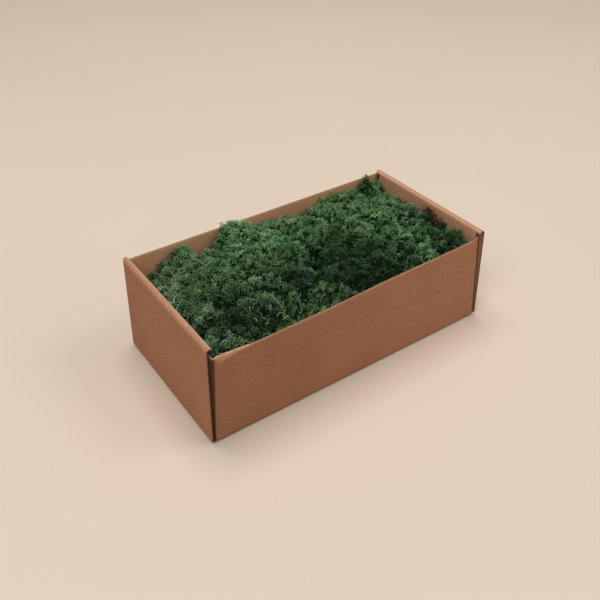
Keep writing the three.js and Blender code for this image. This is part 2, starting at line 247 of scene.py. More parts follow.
class Nodes:
    """Short ways to add and join the nodes of one material."""

    def __init__(self, name: str) -> None:
        """Makes an empty material with one shader.

        Args:
            name: The material's name.
        """
        self.material = bpy.data.materials.new(name)
        self.material.use_nodes = True
        self.tree = self.material.node_tree
        self.shader = self.tree.nodes["Principled BSDF"]
        self.place = self.add("TexCoord", {}, "Object")

    def feed(self, inputs: bpy.types.bpy_prop_collection, values: dict[int | str, object]) -> None:
        """Links an output to each input named, or sets the input where its value is plain.

        Args:
            inputs: A node's inputs.
            values: What some of them get, by number or name.
        """
        for key, value in values.items():
            if isinstance(value, Socket):
                self.tree.links.new(value, inputs[key])
            else:
                inputs[key].default_value = value

    def add(self, kind: str, inputs: dict[int | str, object], output: int | str = 0,
            **fields: object) -> Socket:
        """Adds a node.

        Args:
            kind: The name of its type, after ShaderNode.
            inputs: What each input gets: an output or a plain value.
            output: The output that is asked for.
            **fields: The node's own fields.

        Returns:
            That output.
        """
        node = self.tree.nodes.new(f"ShaderNode{kind}")
        for key, value in fields.items():
            setattr(node, key, value)
        self.feed(node.inputs, inputs)
        return node.outputs[output]

    def read(self, name: str, output: str = "Fac") -> Socket:
        """The number, or the Color, that a point attribute holds."""
        return self.add("Attribute", {}, output, attribute_name=name)

    def noise(self, size: float, detail: float, *ends: float, stretch: Colour = (1, 1, 1)) -> Socket:
        """Noise on object coordinates, about 0.5 on average.

        Args:
            size: Width of a fleck, in metres.
            detail: Finer layers on top.
            *ends: The range that is carried to 0 and 1, or to the two numbers after it.
            stretch: How many times finer it is along each axis.

        Returns:
            The noise.
        """
        place = self.add("Mapping", {"Vector": self.place, "Scale": stretch})
        noise = self.add("TexNoise", {"Vector": place, "Scale": 1 / size, "Detail": detail})
        return self.steps(noise, *ends) if ends else noise

    def math(self, operation: str, *values: object) -> Socket:
        """Arithmetic on outputs and plain numbers."""
        return self.add("Math", dict(enumerate(values)), operation=operation)

    def steps(self, source: object, low: float, high: float, to_low: float = 0,
              to_high: float = 1) -> Socket:
        """A number carried from the range low to high to another, and held inside it."""
        return self.add("MapRange", dict(enumerate((source, low, high, to_low, to_high))), clamp=True)

    def mix(self, share: object, first: object, second: object, blend: str = "MIX") -> Socket:
        """Blends two colours, each an output or a linear colour, by the share of the second."""
        sides = [(*side, 1.0) if isinstance(side, tuple) else side for side in (first, second)]
        return self.add("Mix", {0: share, 6: sides[0], 7: sides[1]}, 2, data_type="RGBA", blend_type=blend)

    def finish(self, base: Socket, relief: Socket, depth: float,
               roughness: float, specular: float) -> Material:
        """Feeds the shader.

        Args:
            base: The colour.
            relief: The height, 0 to 1.
            depth: What a height of 1 is, in metres.
            roughness: How matt it is.
            specular: How strongly it reflects.

        Returns:
            The material.
        """
        bump = self.add("Bump", {"Distance": depth, "Height": relief})
        plain = {"Roughness": roughness, "Specular IOR Level": specular}
        self.feed(self.shader.inputs, {"Base Color": base, "Normal": bump, **plain})
        return self.material


@dataclass(frozen=True)
class KraftFinish:
    """Unbleached kraft board: mottled brown, with fibres, flute marks and pale scuffed edges."""

    base: Colour = linear(161, 113, 85)
    pale: Colour = linear(182, 135, 106)
    dark: Colour = linear(137, 91, 67)
    # Painted light: a paler tone for the faces towards the moss, standing in for the light on the inner
    # walls.
    inside: Colour = linear(204, 156, 120)
    raw_edge: Colour = linear(196, 164, 134)
    torn: Colour = linear(236, 224, 208)
    # Painted shade: the dark brown of crevices, open flutes and the front wall's darker left end.
    hollow: Colour = linear(58, 34, 20)
    flute_pitch: float = 3.2 * MM

    def material(self) -> Material:
        """Builds the finish. It reads the board's attributes flute, inner, and scuffs with painted light and
        shade, -1 for dark.
        """
        nodes = Nodes("kraft_board_finish")
        times = partial(nodes.math, "MULTIPLY")
        mottle = nodes.noise(2.2 * MM, 4, 0.3, 0.72)
        flute = nodes.math("SINE", times(nodes.read("flute"), 2 * math.pi / self.flute_pitch))
        # Above 0: pale scuffs, and painted light on the roll's top; below 0: painted shade.
        edge_wear_and_shade = nodes.read("worn")
        worn = times(nodes.steps(edge_wear_and_shade, 0, 1), nodes.noise(1.3 * MM, 2, 0.35, 0.6, 0.35, 1))
        layers = (
            (times(nodes.noise(45 * MM, 3, 0.3, 0.7), 0.35), self.dark),
            (times(mottle, 0.34), self.pale),
            (times(nodes.noise(0.9 * MM, 3, 0.35, 0.75, stretch=(1, 1, 0.35)), 0.22), self.dark),
            (times(nodes.steps(flute, -1, 1), nodes.noise(24 * MM, 2, 0.35, 0.65, 0.01, 0.09)), self.dark),
            # Painted light: faces towards the moss are paler, for the light on the inner walls.
            (times(nodes.read("inner"), 0.85), self.inside),
            (worn, self.raw_edge),
            (times(worn, nodes.noise(2.4 * MM, 3, 0.62, 0.68)), self.torn),
            # Painted shade in crevices, at open flutes, on raw side edges and towards the front wall's left
            # end.
            (nodes.steps(edge_wear_and_shade, 0, -1), self.hollow),
        )
        colour = self.base
        for share, tone in layers:
            colour = nodes.mix(share, colour, tone)
        relief = nodes.math("ADD", times(flute, 0.15), times(mottle, 0.6))
        return nodes.finish(colour, relief, 0.06 * MM, 0.82, 0.25)


@dataclass(frozen=True)
class MossFinish:
    """Dyed lichen: each strand's colour is in the attribute tint, pale at its tip, with painted shade below.
    """

    name: str

    def material(self) -> Material:
        """Builds the finish from the tint, with fine flecks of dust and dye."""
        nodes = Nodes(self.name)
        fleck = nodes.noise(0.7 * MM, 3, 0.3, 0.7, 0.84, 1.16)
        patch = nodes.noise(9 * MM, 2, 0.3, 0.7, 0.85, 1.12)
        grey = nodes.add("CombineColor", dict.fromkeys(range(3), nodes.math("MULTIPLY", fleck, patch)))
        colour = nodes.mix(1.0, nodes.read("tint", "Color"), grey, "MULTIPLY")
        return nodes.finish(colour, nodes.noise(0.35 * MM, 2), 0.08 * MM, 0.8, 0.2)


@cache
def moss_material(slot: Slot) -> Material:
    """The finish of one kind of moss, built once."""
    return MossFinish(f"{slot.value}_finish").material()


# --- the tray ---------------------------------------------------------------------------


@dataclass(frozen=True)
class FoldPath:
    """A path with round folds, seen end on, with its inward direction at each point."""

    points: Array
    inwards: Array
    along: Array

    @classmethod
    def through(cls, corners: list[Pair], radius: float, arc_steps: int = 7) -> "FoldPath":
        """Rounds each right-angled corner by an arc of the given radius.

        Args:
            corners: The ends and the corners. The path turns to its right only, so its
                inward side is on the right.
            radius: Of the folds, on the outer face.
            arc_steps: Straight pieces in each arc.

        Returns:
            The path.
        """
        stops = np.array(corners)
        runs = unit(np.diff(stops, axis=0))
        right = np.stack([runs[:, 1], -runs[:, 0]], axis=1)
        turn = np.linspace(0, math.pi / 2, arc_steps + 1)[:, None]
        points, inwards = [stops[:1]], [right[:1]]
        for before, corner, after in zip(right[:-1], stops[1:-1], right[1:]):
            spoke = -(before * np.cos(turn) + after * np.sin(turn))
            points.append(corner + radius * (before + after) + radius * spoke)
            inwards.append(-spoke)
        path = np.concatenate([*points, stops[-1:]])
        lengths = np.linalg.norm(np.diff(path, axis=0), axis=1)
        return cls(path, np.concatenate([*inwards, right[-1:]]), np.concatenate([[0], np.cumsum(lengths)]))

    @property
    def length(self) -> float:
        """From end to end, along the outer face."""
        return float(self.along[-1])

    def at(self, stations: Array) -> "FoldPath":
        """The path at chosen distances from its start, straight between its own points."""
        own = [np.interp(stations, self.along, axis) for axis in (*self.points.T, *self.inwards.T)]
        return FoldPath(np.stack(own[:2], axis=1), unit(np.stack(own[2:], axis=1)), stations)

    def part(self, start: float, stop: float, step: float) -> "FoldPath":
        """A stretch of the path, with its own points and more at about a step apart."""
        own = self.along[(self.along > start + 1e-6) & (self.along < stop - 1e-6)]
        return self.at(np.unique(np.concatenate([own.round(7), edged(start, stop, step)])))


class Plane(Enum):
    """Which axes a fold path's two numbers are, followed by the axis that it is carried along."""

    ACROSS_X = (1, 2, 0)
    ACROSS_Z = (0, 1, 2)
    ACROSS_Y = (0, 2, 1)


@dataclass(frozen=True)
class Panel:
    """Some of the board: the fold path of its outer face, carried along a third axis.

    The flutes follow one another along the third axis where that is x, and otherwise along
    the path. The front wall and its flaps are settled.
    """

    path: FoldPath
    across: Array
    plane: Plane
    settled: bool = False

    @property
    def shape(self) -> tuple[int, int]:
        """Rows and columns of its points."""
        return len(self.path.along), len(self.across)

    @property
    def way(self) -> Array:
        """Distance of each point along the direction in which the flutes follow one another."""
        way = self.across if self.plane is Plane.ACROSS_X else self.path.along[:, None]
        return np.broadcast_to(way, self.shape)


@dataclass(frozen=True)
class Tray:
    """One die-cut sheet of corrugated board, folded into an open tray with rolled end walls.

    The board is two liners with a wavy sheet glued between them. The liners are closed thin
    sheets, and the wavy one is there for the first millimetres behind each raw edge.
    """

    finish: KraftFinish = KraftFinish()
    weave: Weave = field(default_factory=Weave)
    length: float = 300 * MM
    width: float = 153.4 * MM
    end_height: float = 98.2 * MM
    back_height: float = 95 * MM
    front_height: float = 89 * MM
    board: float = 1.6 * MM
    liner: float = 0.28 * MM
    medium: float = 0.18 * MM
    layer_gap: float = 0.4 * MM
    fold_radius: float = 2.4 * MM
    roll_radius: float = 2.78 * MM
    flap_length: float = 65 * MM
    flap_foot: float = 2.4 * MM
    inner_margin: float = 5.1 * MM
    lean_from: float = 12 * MM
    lean_left: float = 5.4 * MM
    lean_right: float = -3 * MM
    corner_radius: float = 3.9 * MM
    ear_rise: float = 2.5 * MM
    ear_left: float = 45 * MM
    ear_right: float = 8 * MM
    bend_from: float = -147.5 * MM
    bend_deepest: float = -142 * MM
    bend_to: float = -110 * MM
    bend_depth: float = 6 * MM
    bend_angle: float = 60
    # The roll's top is paler: partly scuffs and partly painted light.
    roll_wear_and_light: float = 0.28
    # Painted shade: in the fold grooves, along the foot and at the roll's open ends.
    crevice_shade: float = -0.95
    # Painted shade: the front wall darkens towards its left end, where less light falls.
    left_shade: float = -0.2
    left_shade_to: float = 110 * MM
    # Painted shade on the raw side edges of the end walls and in the open flutes.
    side_edge_shade: float = -0.68
    flute_shade: float = -0.45
    tab_width: float = 25 * MM
    tab_place: float = 36 * MM
    tab_clearance: float = 0.35 * MM
    tab_foot: float = 0.3 * MM
    base_gap: float = 0.3 * MM
    flute_depth: float = 7 * MM
    flute_inset: float = 0.1 * MM
    pinch: float = 0.34
    crush: float = 0.9 * MM
    sway: float = 0.35 * MM
    sway_length: float = 23 * MM
    bend_roundness: float = 2.5 * MM
    # Height of the painted contact shadow along the foot.
    foot_shade_height: float = 1.5 * MM
    even: float = 6 * MM
    lap_step: float = 3 * MM
    edge_marks: tuple[float, ...] = (0.3 * MM, 0.8 * MM, 1.6 * MM)
    wall_marks: tuple[float, ...] = (0.3, 0.8, 1.6, 2.6, 3.6, 4.8, 6.2, 8)

    @property
    def half_length(self) -> float:
        """From the middle to the outside of an end wall."""
        return self.length / 2

    @property
    def half_width(self) -> float:
        """From the middle to the outside of a long wall."""
        return self.width / 2

    @property
    def flap_face(self) -> float:
        """Outer face of a dust flap."""
        return self.half_length - self.board - self.layer_gap

    @property
    def inner_face(self) -> float:
        """Face of an end wall towards the moss."""
        return self.half_length - 3 * self.board - 2 * self.layer_gap

    @property
    def slot_start(self) -> float:
        """The near side of the slots that the locking tabs stand in."""
        return self.inner_face - self.tab_clearance

    @property
    def slot_stop(self) -> float:
        """The far side of those slots."""
        return self.inner_face + self.board + self.tab_clearance

    def settle(self, points: Array) -> Array:
        """Leans the front wall, lifts its top towards its corners and bends its left ear in.

        The lean and the rise grow with the share of the height above lean_from, as
        y - lean · share and z + rise · share. The ear turns about a slanting crease: what
        lies q above it goes to q · cos(angle) above and q · sin(angle) inwards.

        Args:
            points: Points of the front wall or its flaps, upright.

        Returns:
            The points where they lie.
        """
        x, y, z = np.moveaxis(points, -1, 0)
        along = np.clip((x + self.half_length) / self.length, 0, 1)
        share = np.clip((z - self.lean_from) / (self.front_height - self.lean_from), 0, 1)
        lean = self.lean_left + (self.lean_right - self.lean_left) * along
        ear_left = np.clip(1 - (x + self.flap_face) / self.ear_left, 0, 1)
        ear_right = np.clip(1 - (self.flap_face - x) / self.ear_right, 0, 1)
        rise = self.ear_rise * np.maximum(ear_left, ear_right)
        sway = self.sway * np.sin(x / self.sway_length) * share
        moved_y, moved_z = y - lean * share + sway, z + rise * share
        growing = (x - self.bend_from) / (self.bend_deepest - self.bend_from)
        fading = (self.bend_to - x) / (self.bend_to - self.bend_deepest)
        bent = self.bend_depth * np.clip(np.minimum(growing, fading), 0, 1)
        over = np.clip(moved_z - (self.front_height + rise - bent), 0, None)
        angle = math.radians(self.bend_angle) * smooth(over / self.bend_roundness)
        return np.stack([x, moved_y + over * np.sin(angle), moved_z - over * (1 - np.cos(angle))], axis=-1)

    def sheet(self, panel: Panel, depths: Array) -> Array:
        """Places points behind a panel's outer face.

        Args:
            panel: The panel.
            depths: Depth of each, rows by columns.

        Returns:
            The points, rows by columns by three.
        """
        path, (first, second, third) = panel.path, panel.plane.value
        grid = np.empty((*depths.shape, 3))
        grid[..., [first, second]] = path.points[:, None] + path.inwards[:, None] * depths[..., None]
        grid[..., third] = panel.across
        return self.settle(grid) if panel.settled else grid

    def layers(self, panel: Panel, raw: Array | float, edge_wear_and_shade: Array | float = 1, pale: Array | float = 0,
               inner: Array | float = 0, facing: int = 1) -> None:
        """Adds the two liners of a panel.

        A point of a layer is the path's point plus its depth times the inward direction. Next
        to a raw edge the layers close up: depth = middle + (depth - middle) · (1 - pinch).

        Args:
            panel: The panel.
            raw: How near each point is to a raw edge, 0 to 1.
            edge_wear_and_shade: Tone of a raw edge, for each row or for all: 1 where it is scuffed pale, -1
                where painted shade makes it gape dark.
            pale: Tone of the rest, for each point, for each row or for all: more than 0 where
                the roll's top is paler, partly scuffs and partly painted light, and less than 0
                for painted shade in folds, along the foot and at the front wall's left end.
            inner: How far each row faces the moss, 0 to 1. Such faces are paler: painted light.
            facing: Which liner does so, 0 on the path's outer face or 1.
        """
        raw, middle = np.broadcast_to(raw, panel.shape), self.board / 2
        tone = np.reshape(edge_wear_and_shade, (-1, 1)) * raw**2
        tone = tone + pale * (1 - np.abs(tone))
        for liner, ends in enumerate(((0, self.liner), (self.board - self.liner, self.board))):
            faces = [self.sheet(panel, middle + (depth - middle) * (1 - self.pinch * raw)) for depth in ends]
            towards_moss = np.broadcast_to(np.reshape(inner, (-1, 1)) * (liner == facing), raw.shape)
            flute, worn, within = (np.tile(value.ravel(), 2) for value in (panel.way, tone, towards_moss))
            self.weave.add(*slab(*faces), flute=flute, worn=worn, inner=within)

    def flutes(self, panel: Panel) -> None:
        """Adds the wavy sheet behind a raw edge.

        Its middle lies at depth board / 2 + a · cos(2π s / pitch), where s is the way along
        the flutes' direction and a leaves it just touching both liners.

        Args:
            panel: The stretch that it fills.
        """
        swing = 0.9 * (self.board / 2 - self.liner - self.medium / 2)
        middle = self.board / 2 + swing * np.cos(2 * math.pi * panel.way / self.finish.flute_pitch)
        points, corners = slab(*(self.sheet(panel, middle + side * self.medium / 2) for side in (-1, 1)))
        flat = np.zeros(len(points))
        # The open flutes get painted shade.
        self.weave.add(points, corners, flute=flat, worn=flat + self.flute_shade, inner=flat)

    def left_shade_at(self, places: Array) -> Array:
        """Painted shade on the front wall at each x: darker towards its left end, where less light falls."""
        return self.left_shade * np.clip((self.left_shade_to - places) / (self.left_shade_to + self.half_length), 0, 1)

    def near_edge(self, distance: Array) -> Array:
        """How much a raw edge's crush shows at a distance from it, 1 at the edge."""
        return np.exp(-np.abs(distance) / self.crush)

    def fine(self, start: float, stop: float) -> Array:
        """Stations close enough together to follow the flutes."""
        per_wave = 6
        return np.linspace(start, stop, round((stop - start) / self.finish.flute_pitch * per_wave) + 1)

    def plain(self, path: FoldPath, across: Array) -> None:
        """Adds the two liners of a panel whose raw edges are hidden."""
        self.layers(Panel(path, across, Plane.ACROSS_Y), 0)

    def trough(self) -> None:
        """The base with the back wall and the front wall, flutes running up the walls."""
        side = self.half_width
        corners = [(side, self.back_height), (side, 0.0), (-side, 0.0), (-side, self.front_height)]
        whole = FoldPath.through(corners, self.fold_radius)
        near = np.array(self.wall_marks) * MM
        half_way = whole.length / 2
        for start, stop, front in ((0, half_way, False), (half_way, whole.length, True)):
            stretch = whole.part(start, stop, self.even)
            edge = whole.length if front else 0
            path = whole.at(np.unique(np.concatenate([stretch.along, np.abs(edge - near)])))
            across = np.linspace(-self.slot_start, self.slot_start, 81 if front else 25)
            panel = Panel(path, across, Plane.ACROSS_X, front)
            raw = self.near_edge(path.along - edge)[:, None]
            # Painted shade: a dark contact line along the foot, and the front wall darker towards its left
            # end.
            low = self.crevice_shade * smooth(1 - path.points[:, 1:] / self.foot_shade_height)
            self.layers(panel, raw, pale=low + self.left_shade_at(across) * front, inner=1)
            low_end, high_end = sorted((edge, abs(edge - self.flute_depth)))
            step = 1.4 * MM if front else 3.5 * MM
            strip = whole.part(low_end + self.flute_inset, high_end - self.flute_inset, step)
            self.flutes(Panel(strip, self.fine(-self.slot_start, self.slot_start), Plane.ACROSS_X, front))

    def corner(self, side: int, end: int) -> None:
        """A long wall's upright corner fold and its dust flap inside the end wall.

        Args:
            side: -1 for the front wall, 1 for the back wall.
            end: -1 for the left end, 1 for the right end.
        """
        front = side < 0
        top = self.front_height if front else self.back_height
        corners = [
            (end * self.slot_start, side * self.half_width),
            (end * self.flap_face, side * self.half_width),
            (end * self.flap_face, side * (self.half_width - self.flap_length)),
        ]
        whole = FoldPath.through(corners[::-1] if side * end < 0 else corners, self.corner_radius)
        path = whole.part(0, whole.length, self.even)
        across = edged(self.flap_foot, top, 4 * MM, self.edge_marks)
        # Painted shade in the deeper half of the fold's groove, and towards the front wall's left end.
        crevice = self.crevice_shade * smooth((np.abs(path.inwards[:, :1]) - 0.25) / 0.4)
        pale = np.minimum(crevice, self.left_shade_at(path.points[:, :1]) * front)
        self.layers(Panel(path, across, Plane.ACROSS_Z, front), self.near_edge(across - top), pale=pale)
        rows = np.linspace(top - self.flute_depth, top - self.flute_inset, 3)
        self.flutes(Panel(whole.at(self.fine(0, whole.length)), rows, Plane.ACROSS_Z, front))

    def profile(self, end: int, radius: float, *places: Pair) -> FoldPath:
        """The fold path through places of an end wall, by distance from the middle and height."""
        corners = [(end * place, height) for place, height in places]
        return FoldPath.through(corners[::-1] if end > 0 else corners, radius)

    def end_wall(self, end: int) -> None:
        """An end wall: up from the base, over in a round roll and down inside, with two tabs.

        Args:
            end: -1 for the left end, 1 for the right end.
        """
        outside, inside, high = self.half_length, self.inner_face, self.end_height
        foot, roll_foot = self.board + self.base_gap, high - self.roll_radius
        bottom = [(self.slot_start, 0.0), (outside, 0.0), (outside, self.flap_foot)]
        fold = self.profile(end, self.fold_radius, *bottom)
        lap = self.slot_stop - self.slot_start
        bands, rest = (0, lap), (lap, fold.length)
        if end > 0:
            bands, rest = (fold.length - lap, fold.length), (0, fold.length - lap)
        slot, place = self.tab_width / 2 + self.tab_clearance, self.tab_place
        wide = self.half_width - self.fold_radius
        for start, stop in ((-wide, -place - slot), (-place + slot, place - slot), (place + slot, wide)):
            self.plain(fold.part(*bands, self.lap_step), edged(start, stop, 20 * MM))
        self.plain(fold.part(*rest, self.lap_step), edged(-wide, wide, 10 * MM))
        roll = [(outside, self.flap_foot), (outside, high), (inside, high), (inside, roll_foot)]
        inner = self.profile(end, 0.0, (inside, roll_foot), (inside, foot))
        # The roll's top is paler, partly scuffs and partly painted light.
        walls = (
            (self.profile(end, self.roll_radius, *roll), self.half_width, self.roll_wear_and_light),
            (inner, self.half_width - self.inner_margin, 0),
        )
        for whole, half, pale in walls:
            path = whole.part(0, whole.length, self.even)
            across = edged(-half, half, self.even, (*self.edge_marks, 3 * MM))
            # Painted shade on the raw side edges, darkest at the roll's open ends.
            top = smooth((path.points[:, 1] - high + 2.2 * self.roll_radius) / self.roll_radius)
            edge = self.side_edge_shade + (self.crevice_shade - self.side_edge_shade) * top
            # Faces towards the moss take the paler inside tone: painted light.
            over = smooth((outside - np.abs(path.points[:, 0])) / (outside - inside) * 1.6 - 0.6)
            raw = self.near_edge(half - np.abs(across))
            self.layers(Panel(path, across, Plane.ACROSS_Y), raw, edge, pale * top[:, None], over, 0)
            fine = whole.at(self.fine(0, whole.length))
            for side in (-1, 1):
                rows = side * np.linspace(half - self.flute_depth, half - self.flute_inset, 3)
                self.flutes(Panel(fine, np.sort(rows), Plane.ACROSS_Y))
        for middle in (-place, place):
            tab = self.profile(end, 0.0, (inside, foot), (inside, self.tab_foot))
            self.plain(tab, middle + np.linspace(-self.tab_width / 2, self.tab_width / 2, 4))

    def build(self) -> None:
        """Folds the whole tray as one piece and puts it in the place of its solid."""
        self.trough()
        for end in (-1, 1):
            for side in (-1, 1):
                self.corner(side, end)
            self.end_wall(end)
        self.weave.piece("folded_tray", self.finish.material(), Slot.KRAFT, "tray", crease=35)


# --- the moss ---------------------------------------------------------------------------


@dataclass(frozen=True)
class Patch:
    """A round patch of the bed, in millimetres, that fades out as exp(-d² / radius²)."""

    x: float
    y: float
    radius: float

    def share(self, places: Array) -> Array:
        """How much of the patch each place gets, from its x and y in metres."""
        squared = (places[..., 0] - self.x * MM) ** 2 + (places[..., 1] - self.y * MM) ** 2
        return np.exp(-squared / (self.radius * MM) ** 2)


@dataclass(frozen=True)
class Mound(Patch):
    """A mound of the moss, or a hollow where its rise is negative."""

    rise: float


@dataclass(frozen=True)
class DyeAndShade(Patch):
    """A patch with its own colour of the tips: uneven dye, and in the darkest patches painted shade."""

    strength: float
    colour: Colour


@dataclass(frozen=True)
class MossBed:
    """The height and the colours of the moss over the tray, in millimetres and linear light.

    The mounds' places and radii were chosen one by one. Some of their rises come from a separate
    least-squares fit to heights along the moss's upper edge, and the others were set one by one.
    """

    fill: float = 92.6
    mounds: tuple[Mound, ...] = tuple(Mound(*row) for row in (
        (-42, 68, 16, 14), (-30, 46, 36, 3.8), (-70, 70, 16, -9), (-102, 64, 20, 5.5),
        (-140, 66, 26, -22.6), (52, 70, 16, -7), (76, 62, 20, 3.3), (112, 72, 12, -5),
        (127, 69, 9, 16.5), (141, 50, 9, -5), (138, 24, 12, -2.6), (138, -34, 10, -3.6),
        (132, -58, 22, -2.6), (137, -56, 13, 8), (5, 0, 90, 2), (-95, 0, 45, 4),
        (75, 15, 42, 5.7), (-100, -22, 10, -16), (-83, -50, 8, -10), (14, -66, 12, -11),
        (44, -70, 14, -9), (18, 70, 12, -6), (-89, 70, 8, 5), (-121, 70, 7, -4),
    ))
    crease_from: Pair = (-2, -12)
    crease_to: Pair = (-62, -74)
    crease_width: float = 9
    crease_depth: float = 13
    slope_from: float = -50
    slope_drop: float = 5
    gap_width: float = 4.5
    gap_depth: float = 6
    half_width: float = 76.7
    tip: Colour = linear(113, 156, 111)
    # Painted shade: the stems are far darker and greener than the tips, for the shade deep in the moss.
    stem_shade: Colour = (0.03, 0.2, 0.02)
    # Uneven dye; the darkest patches, in the hollows and along the front wall, are painted shade.
    dyes_and_shade: tuple[DyeAndShade, ...] = tuple(DyeAndShade(*row[:4], linear(*row[4:])) for row in (
        (-28, 46, 42, 0.85, 171, 215, 159), (-96, 8, 46, 0.75, 124, 155, 110),
        (-124, 34, 20, 0.6, 145, 152, 124), (-130, -42, 26, 0.7, 100, 120, 92),
        (-80, -62, 40, 0.6, 54, 88, 50), (-68, -50, 14, 0.65, 118, 138, 104),
        (-100, -22, 9, 0.95, 20, 30, 18), (-84, -52, 9, 0.95, 20, 30, 18),
        (-106, -53, 7, 0.8, 24, 36, 22), (22, -26, 38, 0.85, 47, 83, 46),
        (-26, -25, 12, 0.8, 50, 72, 66), (2, -60, 26, 0.5, 30, 58, 32),
        (30, -70, 26, 0.85, 24, 44, 25), (66, 58, 34, 0.6, 142, 183, 129),
        (92, 22, 36, 0.6, 135, 175, 122), (92, -52, 16, 0.5, 136, 174, 134),
        (130, -60, 22, 0.85, 52, 88, 48), (122, 64, 16, 0.5, 96, 146, 94),
        (112, -66, 16, 0.6, 44, 74, 38), (-43, -8, 16, 0.6, 50, 84, 44),
        (-84, -18, 14, 0.55, 70, 112, 64),
    ))
    # Painted shade grows deeper towards the front and greener as it darkens.
    contrast: Pair = (1.75, 0.45)
    shade_hue: Colour = (1.15, 0.85, 1.2)

    def height(self, places: Array) -> Array:
        """Height of the moss in metres, away from the shapes of its tufts.

        fill + Σ rise · exp(-d² / radius²) - crease_depth · exp(-(distance / width)²)
        - slope_drop · the share of the way from slope_from to the front wall
        - gap_depth · exp(-(distance to the front wall / gap_width)²).

        Args:
            places: x and y of each place, in metres.

        Returns:
            The heights.
        """
        height = np.full(places.shape[:-1], self.fill)
        for mound in self.mounds:
            height = height + mound.rise * mound.share(places)
        start, line = np.array(self.crease_from), np.subtract(self.crease_to, self.crease_from)
        offset = places[..., :2] / MM - start
        along = np.clip(offset @ line / (line @ line), 0, 1)
        away = np.linalg.norm(offset - along[..., None] * line, axis=-1) / self.crease_width
        height = height - self.crease_depth * np.exp(-away * away)
        y = places[..., 1] / MM
        forward = np.clip((self.slope_from - y) / (self.half_width + self.slope_from), 0, 1)
        gap = np.exp(-(((y + self.half_width) / self.gap_width) ** 2))
        return (height - self.slope_drop * forward - self.gap_depth * gap) * MM

    def tips(self, places: Array) -> Array:
        """Colour of the tips: each patch in turn blends its own in by its share.

        Args:
            places: x and y of each place, in metres.

        Returns:
            The colours, in linear light.
        """
        colour = np.broadcast_to(np.array(self.tip), (*places.shape[:-1], 3))
        # Each patch blends in: dye, and in the darkest ones painted shade.
        for dye in self.dyes_and_shade:
            share = dye.strength * dye.share(places)[..., None]
            colour = colour * (1 - share) + np.array(dye.colour) * share
        return colour


@dataclass(frozen=True)
class BumpKind:
    """How large one kind of bump is, how high it stands and how much its shade varies."""

    pitch: float
    radii: Pair
    tops: Pair
    drop: float
    groove: float
    shades: Pair
    groove_shade: float


CLUMPS = BumpKind(27 * MM, (20 * MM, 34 * MM), (-1 * MM, 1.8 * MM), 5 * MM, 1.3 * MM, (1.04, 1.36), 0.55)
LOBES = BumpKind(12 * MM, (7 * MM, 15 * MM), (-4.5 * MM, 2.5 * MM), 8.5 * MM, 2.4 * MM, (0.75, 1.25), 0.38)
BUDS = BumpKind(4.9 * MM, (2.7 * MM, 4.3 * MM), (-0.8 * MM, 0.8 * MM), 3 * MM, 1.1 * MM, (0.72, 1.28), 0.42)


class Bumps:
    """Rounded bumps of one kind all over the bed, each with a shade of its own."""

    def __init__(self, kind: BumpKind, seed: int) -> None:
        """Draws the bumps on a jittered lattice.

        Args:
            kind: Their kind.
            seed: The source of the draws.
        """
        rng = np.random.default_rng(seed)
        across = np.arange(-150 * MM, 151 * MM, kind.pitch)
        lattice = np.stack(np.meshgrid(across, across), axis=-1).reshape(-1, 2)
        lattice = lattice[np.abs(lattice[:, 1]) < 80 * MM]
        self.kind = kind
        self.places = lattice + rng.normal(0, kind.pitch * 0.36, lattice.shape)
        self.radius = rng.uniform(*kind.radii, len(lattice))
        self.top = rng.uniform(*kind.tops, len(lattice))
        shade = rng.uniform(*kind.shades, len(lattice))
        self.shade = shade[:, None] * rng.normal(1, 0.025, (len(lattice), 3))

    def rises(self, places: Array) -> Array:
        """Height of every bump's own bowl over each place: top - drop · (d / radius)²."""
        squared = (places**2).sum(1)[:, None] + (self.places**2).sum(1) - 2 * places @ self.places.T
        return self.top - self.kind.drop * squared / self.radius**2

    def shape(self, places: Array) -> tuple[Array, Array]:
        """What the bumps are at each place.

        Args:
            places: x and y, one row each.

        Returns:
            How far the place is from a groove, 0 where two bumps are as high and 1 on a
            bump; and the factor on its colour: its own shade, with painted shade in the grooves.
        """
        rises = self.rises(places)
        two = np.partition(rises, -2, axis=1)[:, -2:]
        clear = smooth((two[:, 1] - two[:, 0]) / self.kind.groove)
        # Painted shade: darker in the grooves.
        dim = self.kind.groove_shade + (1 - self.kind.groove_shade) * clear
        return clear, self.shade[rises.argmax(axis=1)] * dim[:, None]


